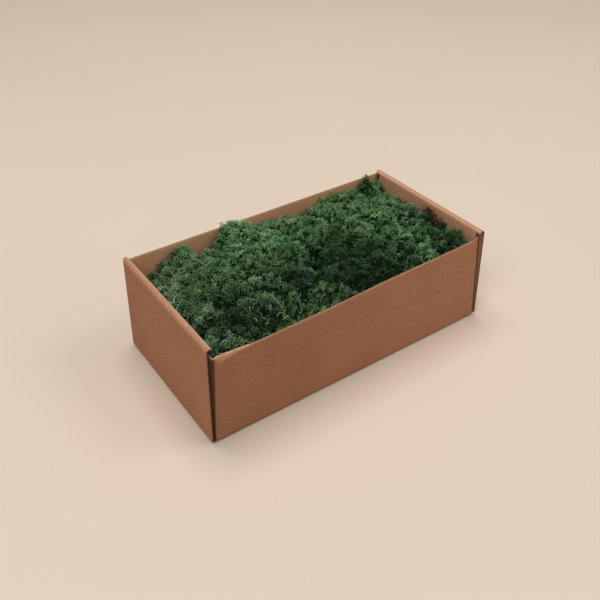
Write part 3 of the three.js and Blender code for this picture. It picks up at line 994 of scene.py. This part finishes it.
class Relief:
    """The top of the moss: its bed, with clumps on it, lobes on those and small buds on the lobes."""

    def __init__(self, bed: MossBed, seed: int) -> None:
        """Draws the bumps of each kind over a bed, from a seed and those after it."""
        self.bed = bed
        self.layers = [Bumps(kind, seed + index) for index, kind in enumerate((LOBES, BUDS, CLUMPS))]

    def height(self, places: Array) -> Array:
        """Height of the tips: the bed's, with the highest bump of each kind there."""
        return self.bed.height(places) + sum(layer.rises(places).max(axis=1) for layer in self.layers)

    def clear(self, places: Array) -> Array:
        """How far each place is from any groove, 0 to 1."""
        return np.prod([layer.shape(places)[0] for layer in self.layers], axis=0)

    def shades(self, places: Array) -> Array:
        """Factor on the colour at each place: bump shades and painted groove shade, to the contrast there.

        Each channel has its own share of the contrast, so that what is darker is greener too.
        """
        factors = np.prod([layer.shape(places)[1] for layer in self.layers], axis=0)
        return factors ** (self.contrast(places) * np.array(self.bed.shade_hue))

    def contrast(self, places: Array) -> Array:
        """How much the shades differ at each place, painted shade deepest at the bed's front."""
        front, back = self.bed.contrast
        return front + (back - front) * (places[:, 1:] / (2 * self.bed.half_width * MM) + 0.5)

    def normals(self, places: Array) -> Array:
        """Upward normals (-∂z/∂x, -∂z/∂y, 1), from heights a little to each side.

        Args:
            places: x and y, one row each.

        Returns:
            The normals, of length one.
        """
        step = 0.8 * MM
        moves = np.array([(1, 0), (-1, 0), (0, 1), (0, -1)]) * step
        right, left, back, front = (self.height(places + move) for move in moves)
        slope = np.stack([right - left, back - front], axis=1) / (2 * step)
        return unit(np.concatenate([-slope, np.ones((len(places), 1))], axis=1))


def around(first: Array, second: Array, angle: Array) -> Array:
    """Directions at angles around a strand: cos(angle) · first + sin(angle) · second."""
    return first[..., None, :] * np.cos(angle)[..., None] + second[..., None, :] * np.sin(angle)[..., None]


THIRDS = np.arange(3) * 2 * math.pi / 3


def strands(paths: Array, radii: Array, side: Array) -> tuple[Array, Array]:
    """Thin closed three-sided strands along many paths at once, pointed at their tips.

    Around each station but the last lie the corners p + r · (cos a · s + sin a · t), where t
    is the path's direction and s the side made square to it, and the last station is the tip.

    Args:
        paths: Strands by stations by three.
        radii: Radius at each station but the last, strands by stations.
        side: A direction that no path runs along, for each strand.

    Returns:
        Points, strands by points by three; and the faces of one strand, numbered from 0.
    """
    along = unit(np.gradient(paths, axis=1))[:, :-1]
    first = unit(np.cross(along, side[:, None]))
    rings = paths[:, :-1, None] + around(first, np.cross(along, first), THIRDS) * radii[:, :, None, None]
    tip = 3 * rings.shape[1]
    last = tip - 3 + np.arange(3)
    cover = np.stack([last, np.full(3, tip), np.roll(last, -1)], axis=1)
    faces = np.concatenate([halves(grid_faces(rings.shape[1], 3, True)), cover, [[0, 1, 2]]])
    return np.concatenate([rings.reshape(len(paths), -1, 3), paths[:, -1:]], axis=1), faces


def repeated(points: Array, faces: Array) -> tuple[Array, Array]:
    """Joins copies that share one numbering into one list of points and one of faces."""
    offsets = np.arange(len(points))[:, None, None] * points.shape[1]
    return points.reshape(-1, 3), (faces[None] + offsets).reshape(-1, faces.shape[1])


@dataclass(frozen=True)
class Habit:
    """How one kind of moss grows: the size and the spacing of its sprigs."""

    spacing: float
    strand: float
    spread: float
    size: float
    curls: float


HABITS = {
    Slot.OLIVE: Habit(2.6 * MM, 0.43 * MM, 1.0, 0.95, 1.3),
    Slot.DEEP: Habit(2.45 * MM, 0.45 * MM, 1.05, 0.82, 0.5),
    Slot.BRIGHT: Habit(2.45 * MM, 0.44 * MM, 1.05, 0.85, 0.7),
}


@dataclass
class Sprigs:
    """Many forked sprigs at once. Every one has the same numbering of points and faces.

    A sprig is a three-sided stem that forks into three, and each of those into three curled
    strands. At a fork, the stem's end ring and its middle point give each branch its own
    three-cornered base, so that a sprig is one closed skin.
    """

    rng: np.random.Generator
    habit: Habit
    root_radius: float = 1.2
    stem_radius: float = 1.35
    stem_length: float = 2.3 * MM
    branch_lengths: Pair = (0.7, 1.3)
    notch: float = 0.3
    stray: float = 0.22
    tip_length: float = 1.9 * MM
    tip_lengths: Pair = (0.6, 1.25)
    tip_bends: Pair = (0.5, 1.5)
    # Each fork's depth, and its branches' bend, length, radius and depth.
    forks: tuple[tuple[float, ...], ...] = (
        (0.2, 0.8, 2.3 * MM, 1.1, 0.5),
        (0.5, 1.25, 1.5 * MM, 0.72, 0.85),
    )
    points: list[Array] = field(default_factory=list)
    depth: list[Array] = field(default_factory=list)
    count: int = 0

    def keep(self, points: Array, depth: float) -> Array:
        """Stores points for every sprig and gives back their numbers within one sprig.

        Args:
            points: Sprigs by any shape by three.
            depth: How near the tip they are, 0 to 1.

        Returns:
            Numbers in the shape between the sprigs and the coordinates.
        """
        shape = points.shape[1:-1]
        size = math.prod(shape)
        self.points.append(points.reshape(len(points), size, 3))
        self.depth.append(np.full(size, depth))
        self.count += size
        return np.arange(self.count - size, self.count).reshape(shape)

    def ring(self, base: Array, direction: Array, length: Array, radius: float) -> tuple[Array, Array]:
        """The end ring of a three-sided strand, and the ring's middle.

        Each corner keeps its bearing: the base corner less the base's middle, made square to
        the direction and scaled to the radius, around middle + length · direction.

        Args:
            base: Its three base corners, ... by 3 by 3.
            direction: Unit directions, ... by 3.
            length: Lengths, ....
            radius: Of the ring.

        Returns:
            The ring's corners and its middle.
        """
        middle = base.mean(axis=-2)
        bearing = square(base - middle[..., None, :], direction[..., None, :])
        centre = middle + length[..., None] * direction
        return centre[..., None, :] + radius * unit(bearing), centre

    @staticmethod
    def tube(base: Array, ring: Array) -> Array:
        """Faces between rings of three: two triangles a side.

        Args:
            base: Numbers of the lower rings' corners.
            ring: Numbers of the upper ones'.

        Returns:
            The faces.
        """
        after, ring_after = np.roll(base, -1, axis=-1), np.roll(ring, -1, axis=-1)
        sides = ([base, after, ring_after], [base, ring_after, ring])
        return np.concatenate([np.stack(side, axis=-1).reshape(-1, 3) for side in sides])

    def grow(self, roots: Array, directions: Array, sizes: Array) -> tuple[Array, Array, Array]:
        """Grows a sprig at every root.

        Args:
            roots: Where they start, one row each.
            directions: Unit directions of their stems.
            sizes: Scale of each.

        Returns:
            Points, sprigs by points by three; faces of one sprig; and depth of its points.
        """
        rng, strand, number = self.rng, self.habit.strand, len(roots)
        helper = np.where(np.abs(directions[:, 2:]) < 0.9, UP, np.array([1.0, 0, 0]))
        side = unit(np.cross(directions, helper))
        angle = rng.uniform(0, 2 * math.pi, number)[:, None] + THIRDS
        base = roots[:, None] + around(side, np.cross(directions, side), angle) * strand * self.root_radius
        numbers = self.keep(base, 0.0)
        ring, centre = self.ring(base, directions, self.stem_length * sizes, strand * self.stem_radius)
        ring_numbers = self.keep(ring, 0.2)[None]
        faces = [numbers[None, ::-1], self.tube(numbers[None], ring_numbers)]
        ring, centre, heading = ring[:, None], centre[:, None], directions[:, None]
        for fork_depth, bend, length, radius, depth in self.forks:
            notch = centre - heading * strand * self.notch
            notch_numbers = self.keep(notch, fork_depth)
            after = np.roll(ring, -1, axis=-2)
            outward = unit((ring + after) / 2 - centre[..., None, :])
            stray = rng.normal(0, self.stray, outward.shape)
            turned = unit(heading[..., None, :] + outward * self.habit.spread * bend + stray)
            base = np.stack([ring, after, np.broadcast_to(notch[..., None, :], ring.shape)], axis=-2)
            notches = np.broadcast_to(notch_numbers[..., None], ring_numbers.shape)
            numbers = np.stack([ring_numbers, np.roll(ring_numbers, -1, axis=-1), notches], axis=-1)
            base, heading = base.reshape(number, -1, 3, 3), turned.reshape(number, -1, 3)
            lengths = length * sizes[:, None] * rng.uniform(*self.branch_lengths, base.shape[:2])
            ring, centre = self.ring(base, heading, lengths, strand * radius)
            ring_numbers = self.keep(ring, depth)
            faces.append(self.tube(numbers.reshape(-1, 3), ring_numbers))
        curl = unit(square(rng.normal(0, 1, heading.shape), heading))
        bent = unit(heading + curl * rng.uniform(*self.tip_bends, heading.shape[:2])[..., None])
        lengths = self.tip_length * sizes[:, None] * rng.uniform(*self.tip_lengths, heading.shape[:2])
        tips = self.keep(centre + bent * lengths[..., None], 1.0)
        after = np.roll(ring_numbers, -1, axis=-1)
        covers = np.stack([ring_numbers, after, np.broadcast_to(tips[..., None], after.shape)], axis=-1)
        faces = np.concatenate([*faces, covers.reshape(-1, 3)])
        return np.concatenate(self.points, axis=1), faces, np.concatenate(self.depth)


@dataclass
class Tuft:
    """One torn tuft of moss: forked sprigs and curled strands over a dark core of painted shade."""

    node: str
    slot: Slot
    relief: Relief
    tray: Tray
    seed: int
    weave: Weave = field(default_factory=Weave)
    rim_drop: float = 3 * MM
    crown_depth: float = 6.2 * MM
    core_depth: float = 5.6 * MM
    core_noise: float = 0.6 * MM
    # Painted shade: the core is darker still than the stems.
    core_shade: float = 0.3
    foot: float = 1.9 * MM
    wall_gap: float = 0.5 * MM
    rim_share: float = 0.985
    groove_growth: float = 0.3
    upright: float = 0.3
    sprig_stray: float = 0.24
    sprig_noise: float = 0.4 * MM
    sprig_sizes: Pair = (0.85, 1.12)
    sprig_glow: Pair = (0.76, 1.16)
    curl_depth: float = 3.4 * MM
    curl_spacing: float = 3 * MM
    curl_stray: float = 0.75
    curl_sag: float = 0.4
    curl_lengths: Pair = (4 * MM, 8 * MM)
    curl_turns: Pair = (1.8, 4.2)
    curl_wave: float = 0.5 * MM
    curl_shade: Pair = (0.75, 1.15)
    twig_lean: float = 0.8
    twig_lengths: Pair = (1.2 * MM, 2.4 * MM)

    def __post_init__(self) -> None:
        """Takes the tuft's footprint from its solid.

        Of the lowest points of the solid, the one that most triangles share is the
        footprint's middle, and the others, in the order of their bearing from it, are its rim.
        """
        self.rng = np.random.default_rng(self.seed)
        self.habit = HABITS[self.slot]
        mesh = frame["nodes"][self.node].data
        points = np.empty(3 * len(mesh.vertices))
        mesh.vertices.foreach_get("co", points)
        points = points.reshape(-1, 3)
        low = np.round(points[points[:, 2] < points[:, 2].min() + 0.01 * MM, :2], 6)
        places, shared = np.unique(low, axis=0, return_counts=True)
        self.middle = places[shared.argmax()]
        rim = np.delete(places, shared.argmax(), axis=0)
        self.rim = rim[np.arctan2(*(rim - self.middle).T[::-1]).argsort()]

    def build(self) -> None:
        """Grows the tuft and puts it in the place of its solid."""
        self.add_core()
        self.add_sprigs()
        self.add_curls()
        name = self.node.replace("moss_tuft", "moss_crown")
        self.weave.piece(name, moss_material(self.slot), self.slot, self.node)

    def share(self, places: Array) -> Array:
        """How far out a place lies, 0 in the middle and 1 on the rim.

        Each side of the rim gives n · (place - middle) / n · (side - middle), where n is its
        outward normal, and the greatest of them is the share.

        Args:
            places: x and y, one row each.

        Returns:
            The shares.
        """
        sides = np.roll(self.rim, -1, axis=0) - self.rim
        normals = np.stack([sides[:, 1], -sides[:, 0]], axis=1)
        reach = ((self.rim - self.middle) * normals).sum(1)
        return ((places - self.middle) @ normals.T / reach).max(axis=-1)

    def crown(self, places: Array) -> Array:
        """Height of the tips over a place: the relief's, less rim_drop · share⁴."""
        share = np.clip(self.share(places), 0, 1.1)
        return self.relief.height(places) - self.rim_drop * share**4

    def tint(self, places: Array, ramp: Array | float) -> Array:
        """Colour at each place: the stems' where the ramp is 0, and the tips' where it is 1."""
        tips = self.relief.bed.tips(places)
        # The stems' colour is painted shade.
        return tips * np.array(self.relief.bed.stem_shade) * (1 - ramp) + tips * ramp

    def scattered(self, spacing: float) -> Array:
        """Scatters places on a jittered lattice inside the rim.

        Args:
            spacing: Distance between them.

        Returns:
            x and y, one row each.
        """
        span = np.linalg.norm(self.rim - self.middle, axis=1).max()
        steps = np.arange(-span, span, spacing)
        lattice = np.stack(np.meshgrid(steps, steps * 0.93), axis=-1)
        lattice[1::2, :, 0] += spacing / 2
        places = self.middle + lattice.reshape(-1, 2)
        places = places + self.rng.normal(0, spacing * 0.3, places.shape)
        return places[self.share(places) < self.rim_share]

    def add_core(self) -> None:
        """Adds a dark core of painted shade under the crown, as one closed body down to the foot.

        Its top is a fan of rings: middle + share · (rim point - middle), at the crown's
        height less the core's depth and a little noise. The last ring drops to the foot.
        """
        steps = 3
        way = np.arange(len(self.rim) * steps) / steps
        first, part = way.astype(int), (way % 1)[:, None]
        outline = self.rim[first] * (1 - part) + np.roll(self.rim, -1, axis=0)[first] * part
        shares = np.linspace(0.08, 0.97, 9)
        flat = (self.middle + shares[:, None, None] * (outline - self.middle)).reshape(-1, 2)
        top = self.crown(flat) - self.core_depth + self.rng.normal(0, self.core_noise, len(flat))
        rings = np.concatenate([flat, top[:, None]], axis=1).reshape(len(shares), len(outline), 3)
        skirt = rings[-1:].copy()
        skirt[..., 2] = self.foot
        rings = np.concatenate([rings, skirt])
        count = len(outline)
        ring = np.arange(count)
        after = np.roll(ring, -1)
        last, hub = (len(rings) - 1) * count, np.full(count, len(rings) * count)
        cover = np.stack([ring, after, hub], axis=1)
        under = np.stack([last + after, last + ring, hub + 1], axis=1)
        faces = np.concatenate([halves(grid_faces(len(rings), count, True)), cover, under])
        hubs = np.array([[*self.middle, rings[0, :, 2].mean()], [*self.middle, self.foot]])
        points = np.concatenate([rings.reshape(-1, 3), hubs])
        self.weave.add(points, faces, tint=self.tint(points[:, :2], 0) * self.core_shade)

    def add_sprigs(self) -> None:
        """Adds the crown: sprigs on a jittered lattice, fewer of them in the grooves.

        A sprig's heading blends the crown's normal with straight up and a random stray, and
        its root lies crown_depth back from the crown along that heading.
        """
        rng, relief = self.rng, self.relief
        places = self.scattered(self.habit.spacing)
        growth = self.groove_growth + (1 - self.groove_growth) * relief.clear(places)
        places = places[rng.uniform(0, 1, len(places)) < growth]
        normals = relief.normals(places)
        stray = rng.normal(0, self.sprig_stray, normals.shape)
        headings = unit((1 - self.upright) * normals + self.upright * UP + stray)
        height = self.crown(places) + rng.normal(0, self.sprig_noise, len(places))
        tips = np.concatenate([places, height[:, None]], axis=1)
        sizes = self.habit.size * rng.uniform(*self.sprig_sizes, len(places))
        roots = tips - headings * (self.crown_depth * sizes / self.habit.size)[:, None]
        points, faces, depth = Sprigs(rng, self.habit).grow(roots, headings, sizes)
        points = self.inside_tray(points)
        glow = rng.uniform(*self.sprig_glow, len(places))[:, None] * rng.normal(1, 0.05, (len(places), 3))
        # Random glow, times the bump shades with painted shade in the grooves.
        glow = (glow * relief.shades(places))[:, None]
        # Painted shade: darker towards the roots, more so at the front.
        ramp = depth[None, :, None] ** (1 + 0.45 * relief.contrast(places))[:, None]
        tint = self.tint(points[..., :2], ramp) * glow
        self.weave.add(*repeated(points, faces), tint=tint.reshape(-1, 3))

    def add_curls(self) -> None:
        """Adds curled strands that loop out of the crown and over it, with two side tips each.

        A strand is part of a circle: root + sin(k s) / k · d + (1 - cos(k s)) / k · b, where d
        is its first direction, b the way that it bends and k the curvature, and a slow wave
        goes across. Its side tips start on it and lean away from it.
        """
        rng, relief = self.rng, self.relief
        places = self.scattered(self.curl_spacing / math.sqrt(self.habit.curls))
        count = len(places)
        height = self.crown(places) - self.curl_depth
        roots = np.concatenate([places, height[:, None]], axis=1)
        stray = rng.normal(0, self.curl_stray, (count, 3))
        start = unit(relief.normals(places) + stray + self.upright * UP)
        bend = unit(square(rng.normal(0, 1, (count, 3)) - self.curl_sag * UP, start))
        across = np.cross(start, bend)
        length = rng.uniform(*self.curl_lengths, count)
        turn = rng.uniform(*self.curl_turns, count)
        way = np.linspace(0, 1, 7)
        radius, angle = (length / turn)[:, None, None], (turn[:, None] * way)[..., None]
        wave = self.curl_wave * np.sin(2 * math.pi * way + rng.uniform(0, 6, (count, 1)))[..., None]
        circle = np.sin(angle) * start[:, None] + (1 - np.cos(angle)) * bend[:, None]
        paths = roots[:, None] + radius * circle + wave * way[:, None] * across[:, None]
        thick = self.habit.strand * rng.uniform(0.8, 1.25, (count, 1)) * np.linspace(1, 0.65, 6)
        # Bump shades with painted shade in the grooves, times a random shade.
        shade = (relief.shades(places) * rng.uniform(*self.curl_shade, (count, 1)))[:, None]
        # From stem colour to tip colour: painted shade towards the roots.
        parts = [(paths, thick, np.linspace(0.3, 1.1, 7))]
        for station, lean in ((3, 1), (5, -1)):
            ahead = unit(paths[:, station + 1] - paths[:, station])
            aside = unit(ahead + lean * across * self.twig_lean + rng.normal(0, 0.3, (count, 3)))
            reach = rng.uniform(*self.twig_lengths, (count, 1))
            twig = paths[:, station, None] + aside[:, None] * (reach * np.array([0, 0.5, 1]))[..., None]
            parts.append((twig, thick[:, 3:5] * 0.85, np.array([0.8, 0.95, 1.1])))
        for path, radii, light in parts:
            points, faces = strands(self.inside_tray(path), radii, across)
            ramp = np.append(np.repeat(light[:-1], 3), light[-1])[None, :, None]
            tint = np.clip(self.tint(points[..., :2], ramp) * shade, 0, 1)
            self.weave.add(*repeated(points, faces), tint=tint.reshape(-1, 3))

    def inside_tray(self, points: Array) -> Array:
        """Holds what lies below the tray's rim inside its walls.

        Args:
            points: Points of the sprigs.

        Returns:
            The points, with x and y held between the walls where they are low.
        """
        tray = self.tray
        side = tray.inner_face - self.wall_gap
        back = tray.half_width - tray.board - self.wall_gap
        x, y, z = np.moveaxis(points, -1, 0)
        held_x = np.where(z > tray.end_height + 0.5 * MM, x, np.clip(x, -side, side))
        lean = tray.lean_right * np.clip((x + tray.half_length) / tray.length, 0, 1)
        front = np.where(x < 0, -back, -back - np.minimum(lean, 0))
        front = np.where(z > tray.front_height + tray.ear_rise, -np.inf, front)
        held_y = np.maximum(np.where(z > tray.back_height + 0.5 * MM, y, np.minimum(y, back)), front)
        lowest, highest = np.array(cad_lowest) + 0.3 * MM, np.array(cad_highest) - 0.3 * MM
        return np.clip(np.stack([held_x, held_y, z], axis=-1), lowest, highest)


@dataclass(frozen=True)
class Moss:
    """All the tufts, each in the place of its solid."""

    relief: Relief
    tray: Tray
    seed: int = 4100

    def build(self) -> None:
        """Grows every tuft that the record names, in the colour of its slot."""
        for index, part in enumerate(frame["record"]["subparts"]):
            if part["node"].startswith("moss_tuft"):
                slot = Slot(part["material_slot"])
                Tuft(part["node"], slot, self.relief, self.tray, self.seed + index).build()


@dataclass(frozen=True)
class Bits:
    """Short curved bits at random places, in millimetres.

    There are count of them about a middle, with a spread and a range of lengths. They lie up
    to lift above the moss, with fine stations each.
    """

    count: int
    middle: Pair
    spread: Pair
    length: Pair
    lift: float
    fine: int

    def ways(self, rng: np.random.Generator) -> Array:
        """Each bit's way over the bed: part of a circle with 5 stations.

        Args:
            rng: The source of the draws.

        Returns:
            Ways by stations by two, in metres.
        """
        count = self.count
        start = np.array(self.middle) + rng.normal(0, 1, (count, 2)) * np.array(self.spread)
        start = np.clip(start, (-138, -70), (138, 66)) * MM
        heading, turn = rng.uniform(0, 2 * math.pi, count), rng.uniform(-2.4, 2.4, count)
        step = rng.uniform(*self.length, count)[:, None] * MM / 4
        angle = heading[:, None] + turn[:, None] * np.linspace(0, 1, 4)
        moves = np.stack([np.cos(angle), np.sin(angle)], axis=2) * step[..., None]
        return start[:, None] + np.concatenate([np.zeros((count, 1, 2)), moves.cumsum(axis=1)], axis=1)


@dataclass(frozen=True)
class Litter:
    """Dry strands and bits of brown litter that lie on the moss, each kind as one piece.

    The long strands' ways are in millimetres. Their points were picked one by one, and
    a separate calculation carried them onto the bed.
    """

    relief: Relief
    seed: int = 610
    levelled: float = 0.45
    sink: float = 0.6 * MM
    unevenness: float = 0.2 * MM
    straw: tuple[Colour, Colour] = (linear(160, 172, 130), linear(108, 124, 86))
    straw_bits: tuple[Bits, ...] = (
        Bits(40, (-92, -8), (26, 38), (5, 12), 2, 9),
        Bits(14, (-74, -56), (12, 9), (4, 8), 1.8, 9),
        Bits(26, (30, 5), (62, 36), (5, 12), 1.8, 9),
    )
    bark: tuple[Colour, Colour] = (linear(74, 54, 38), linear(36, 25, 18))
    bark_bits: tuple[Bits, ...] = (
        Bits(44, (136, -19), (3, 7), (5, 11), 4.5, 5),
        Bits(12, (0, 0), (90, 45), (3, 7), 1.2, 5),
    )
    long_ways: tuple[tuple[Pair, ...], ...] = (
        ((-115.8, 51), (-117.2, 42.4), (-122.9, 37), (-122, 27.3), (-127.6, 24)),
        ((-91.2, 59.4), (-92.1, 50), (-91.5, 39.7), (-91.6, 30.2), (-93.2, 21.9)),
        ((-93.2, 21.9), (-97, 11.6), (-99.2, 2.3), (-100.7, -5.4), (-102.9, -12.6)),
        ((-81.4, -52.7), (-80, -56), (-82.2, -58.6), (-84.5, -61), (-87.1, -63.1)),
        ((-65.4, -38.8), (-66.8, -43), (-66.4, -46.6), (-65.3, -52.4), (-67.1, -61.1)),
        ((-61.8, -53.2), (-64, -56), (-67.7, -59), (-69.5, -63), (-68.8, -68)),
        ((-29.2, -55.5), (-37, -60.4), (-44, -65.7), (-47, -68), (-50.1, -71.4)),
        ((-22.6, -56.6), (-25, -58), (-28.1, -59.7), (-31, -61), (-32.9, -63.3)),
    )

    def laid(self, rng: np.random.Generator, ways: Array, lift: float, fine: int) -> Array:
        """Lays ways on the moss: each rounded to more stations, and arched clear of the lobes.

        Between its stations a way follows a parabola through each three of them, and its
        height is the relief's mean along it, eased towards the relief, plus the lift.

        Args:
            rng: The source of the unevenness.
            ways: Ways by stations by two.
            lift: Height above the crown, in millimetres.
            fine: Stations after rounding.

        Returns:
            Paths, ways by stations by three.
        """
        stations = np.linspace(0, ways.shape[1] - 1, fine)
        before = np.clip(np.round(stations).astype(int), 1, ways.shape[1] - 2)
        t = (stations - before)[:, None]
        a, b, c = ways[:, before - 1], ways[:, before], ways[:, before + 1]
        flat = b + (c - a) / 2 * t + (a + c - 2 * b) / 2 * t * t
        height = self.relief.height(flat.reshape(-1, 2)).reshape(flat.shape[:2])
        mean = height.mean(axis=1, keepdims=True)
        arch = np.sin(math.pi * stations / stations[-1]) * (lift * MM)
        height = self.levelled * mean + (1 - self.levelled) * height + arch - self.sink
        height = height + rng.normal(0, self.unevenness, height.shape)
        paths = np.concatenate([flat, height[..., None]], axis=2)
        return np.minimum(paths, np.array(cad_highest) - 0.5 * MM)

    def piece(self, name: str, paths: list[Array], radius: float, colours: tuple[Colour, Colour],
              rng: np.random.Generator) -> None:
        """Makes one piece of strands of one kind.

        Args:
            name: The piece's name.
            paths: Groups of paths with as many stations each.
            radius: Of the thickest strand.
            colours: Light and dark.
            rng: The source of the draws.
        """
        weave = Weave()
        light, dark = np.array(colours)
        for group in paths:
            radii = radius * rng.uniform(0.6, 1, (len(group), 1)) * np.linspace(1, 0.55, group.shape[1] - 1)
            points, faces = strands(group, radii, np.broadcast_to(UP, (len(group), 3)))
            mix = rng.uniform(0, 1, (len(group), 1, 1)) * np.ones((1, points.shape[1], 1))
            weave.add(*repeated(points, faces), tint=(light * mix + dark * (1 - mix)).reshape(-1, 3))
        weave.piece(name, moss_material(Slot.OLIVE), Slot.OLIVE)

    def build(self) -> None:
        """Makes the dry strands and the bark bits."""
        rng = np.random.default_rng(self.seed)
        laid = [self.laid(rng, np.array(self.long_ways) * MM, 2.2, 17)]
        laid += [self.laid(rng, bits.ways(rng), bits.lift, bits.fine) for bits in self.straw_bits]
        self.piece("dry_strands", laid, 0.4 * MM, self.straw, rng)
        laid = [self.laid(rng, bits.ways(rng), bits.lift, bits.fine) for bits in self.bark_bits]
        self.piece("bark_litter", laid, 0.75 * MM, self.bark, rng)


# --- the studio -------------------------------------------------------------------------


@dataclass(frozen=True)
class Studio:
    """A pale floor, soft light from above and the camera.

    The camera's place, turn and lens come from a separate least-squares fit, and the lamps'
    powers were set with the help of another.
    """

    lamp_colour: Colour = (1.0, 0.985, 0.97)
    lamps: tuple[tuple[str, Colour, float, float], ...] = (
        ("left_softbox", (-1.6, -1.0, 2.2), 1.1, 26),
        ("right_softbox", (1.6, -0.9, 2.2), 1.1, 14.5),
        ("overhead_softbox", (0.0, 0.5, 2.6), 1.4, 38),
        ("front_softbox", (0.9, -1.8, 1.2), 1.0, 4.2),
    )
    floor_colour: Colour = linear(213, 198, 182)
    world_colour: Colour = linear(255, 247, 236)
    world_strength: float = 0.28
    floor_radius: float = 3.2
    floor_rim: float = 0.9
    camera_place: Colour = (-0.361001, -0.502037, 0.498528)
    camera_turn: Colour = (61.645, 0.0, -34.979)
    lens: float = 47.903
    sensor: float = 36
    shift_y: float = -0.2

    @staticmethod
    def put(name: str, data: bpy.types.ID) -> bpy.types.Object:
        """Makes an object and links it to the scene.

        Args:
            name: Its name.
            data: Its mesh, lamp or camera.

        Returns:
            The object.
        """
        made = bpy.data.objects.new(name, data)
        bpy.context.scene.collection.objects.link(made)
        return made

    def camera(self) -> None:
        """Sets the camera where the tray is seen from its front left, from above."""
        data = bpy.data.cameras.new("camera")
        data.lens, data.sensor_width, data.shift_y = self.lens, self.sensor, self.shift_y
        data.clip_start, data.clip_end = 0.01, 20
        camera = self.put("camera", data)
        camera.location = self.camera_place
        camera.rotation_euler = [math.radians(angle) for angle in self.camera_turn]
        bpy.context.scene.camera = camera

    def floor(self) -> None:
        """A round floor that rises gently at its far rim: z = rim · ((r - r₀) / (R - r₀))²."""
        radii = np.concatenate([[0.02], np.geomspace(0.1, self.floor_radius, 28)])
        angle = np.linspace(0, 2 * math.pi, 65)[:-1]
        rise_from = self.floor_radius * 0.7
        share = np.clip((radii - rise_from) / (self.floor_radius - rise_from), 0, None)
        ring = np.stack([np.cos(angle), np.sin(angle), np.ones(len(angle))], axis=1)
        points = ring * np.stack([radii, radii, self.floor_rim * share**2], axis=1)[:, None]
        faces = grid_faces(len(radii), len(angle), True).tolist()
        mesh = bpy.data.meshes.new("floor")
        mesh.from_pydata(points.reshape(-1, 3).tolist(), [], [*faces, list(range(len(angle)))])
        mesh.materials.append(self.floor_material())
        mesh.shade_smooth()
        self.put("floor", mesh)

    def floor_material(self) -> Material:
        """Matt paper in a warm cream, very slightly uneven."""
        nodes = Nodes("floor_paper")
        darker = tuple(value * 0.97 for value in self.floor_colour)
        paper = nodes.mix(nodes.noise(0.5, 2, 0.3, 0.7), self.floor_colour, darker)
        return nodes.finish(paper, nodes.noise(0.4 * MM, 2), 0.01 * MM, 0.9, 0.1)

    def lights(self) -> None:
        """Large soft lights around and above the tray that face it, in pale surroundings."""
        world = bpy.data.worlds.new("surroundings")
        world.use_nodes = True
        back = world.node_tree.nodes["Background"]
        back.inputs["Color"].default_value = (*self.world_colour, 1)
        back.inputs["Strength"].default_value = self.world_strength
        bpy.context.scene.world = world
        for name, place, size, power in self.lamps:
            data = bpy.data.lights.new(name, "AREA")
            data.size, data.energy, data.color = size, power, self.lamp_colour
            lamp = self.put(name, data)
            lamp.location = place
            lamp.rotation_euler = (-lamp.location).to_track_quat("-Z", "Y").to_euler()

    def build(self) -> None:
        """Builds the whole studio, with plain colour handling."""
        bpy.context.scene.view_settings.view_transform = "Standard"
        self.camera()
        self.floor()
        self.lights()


def main() -> None:
    """Builds the studio, the tray and the moss."""
    logging.basicConfig(level=logging.INFO, format="%(message)s")
    Studio().build()
    tray = Tray()
    tray.build()
    relief = Relief(MossBed(), seed=77)
    Moss(relief, tray).build()
    Litter(relief).build()


if __name__ == "__main__":
    main()
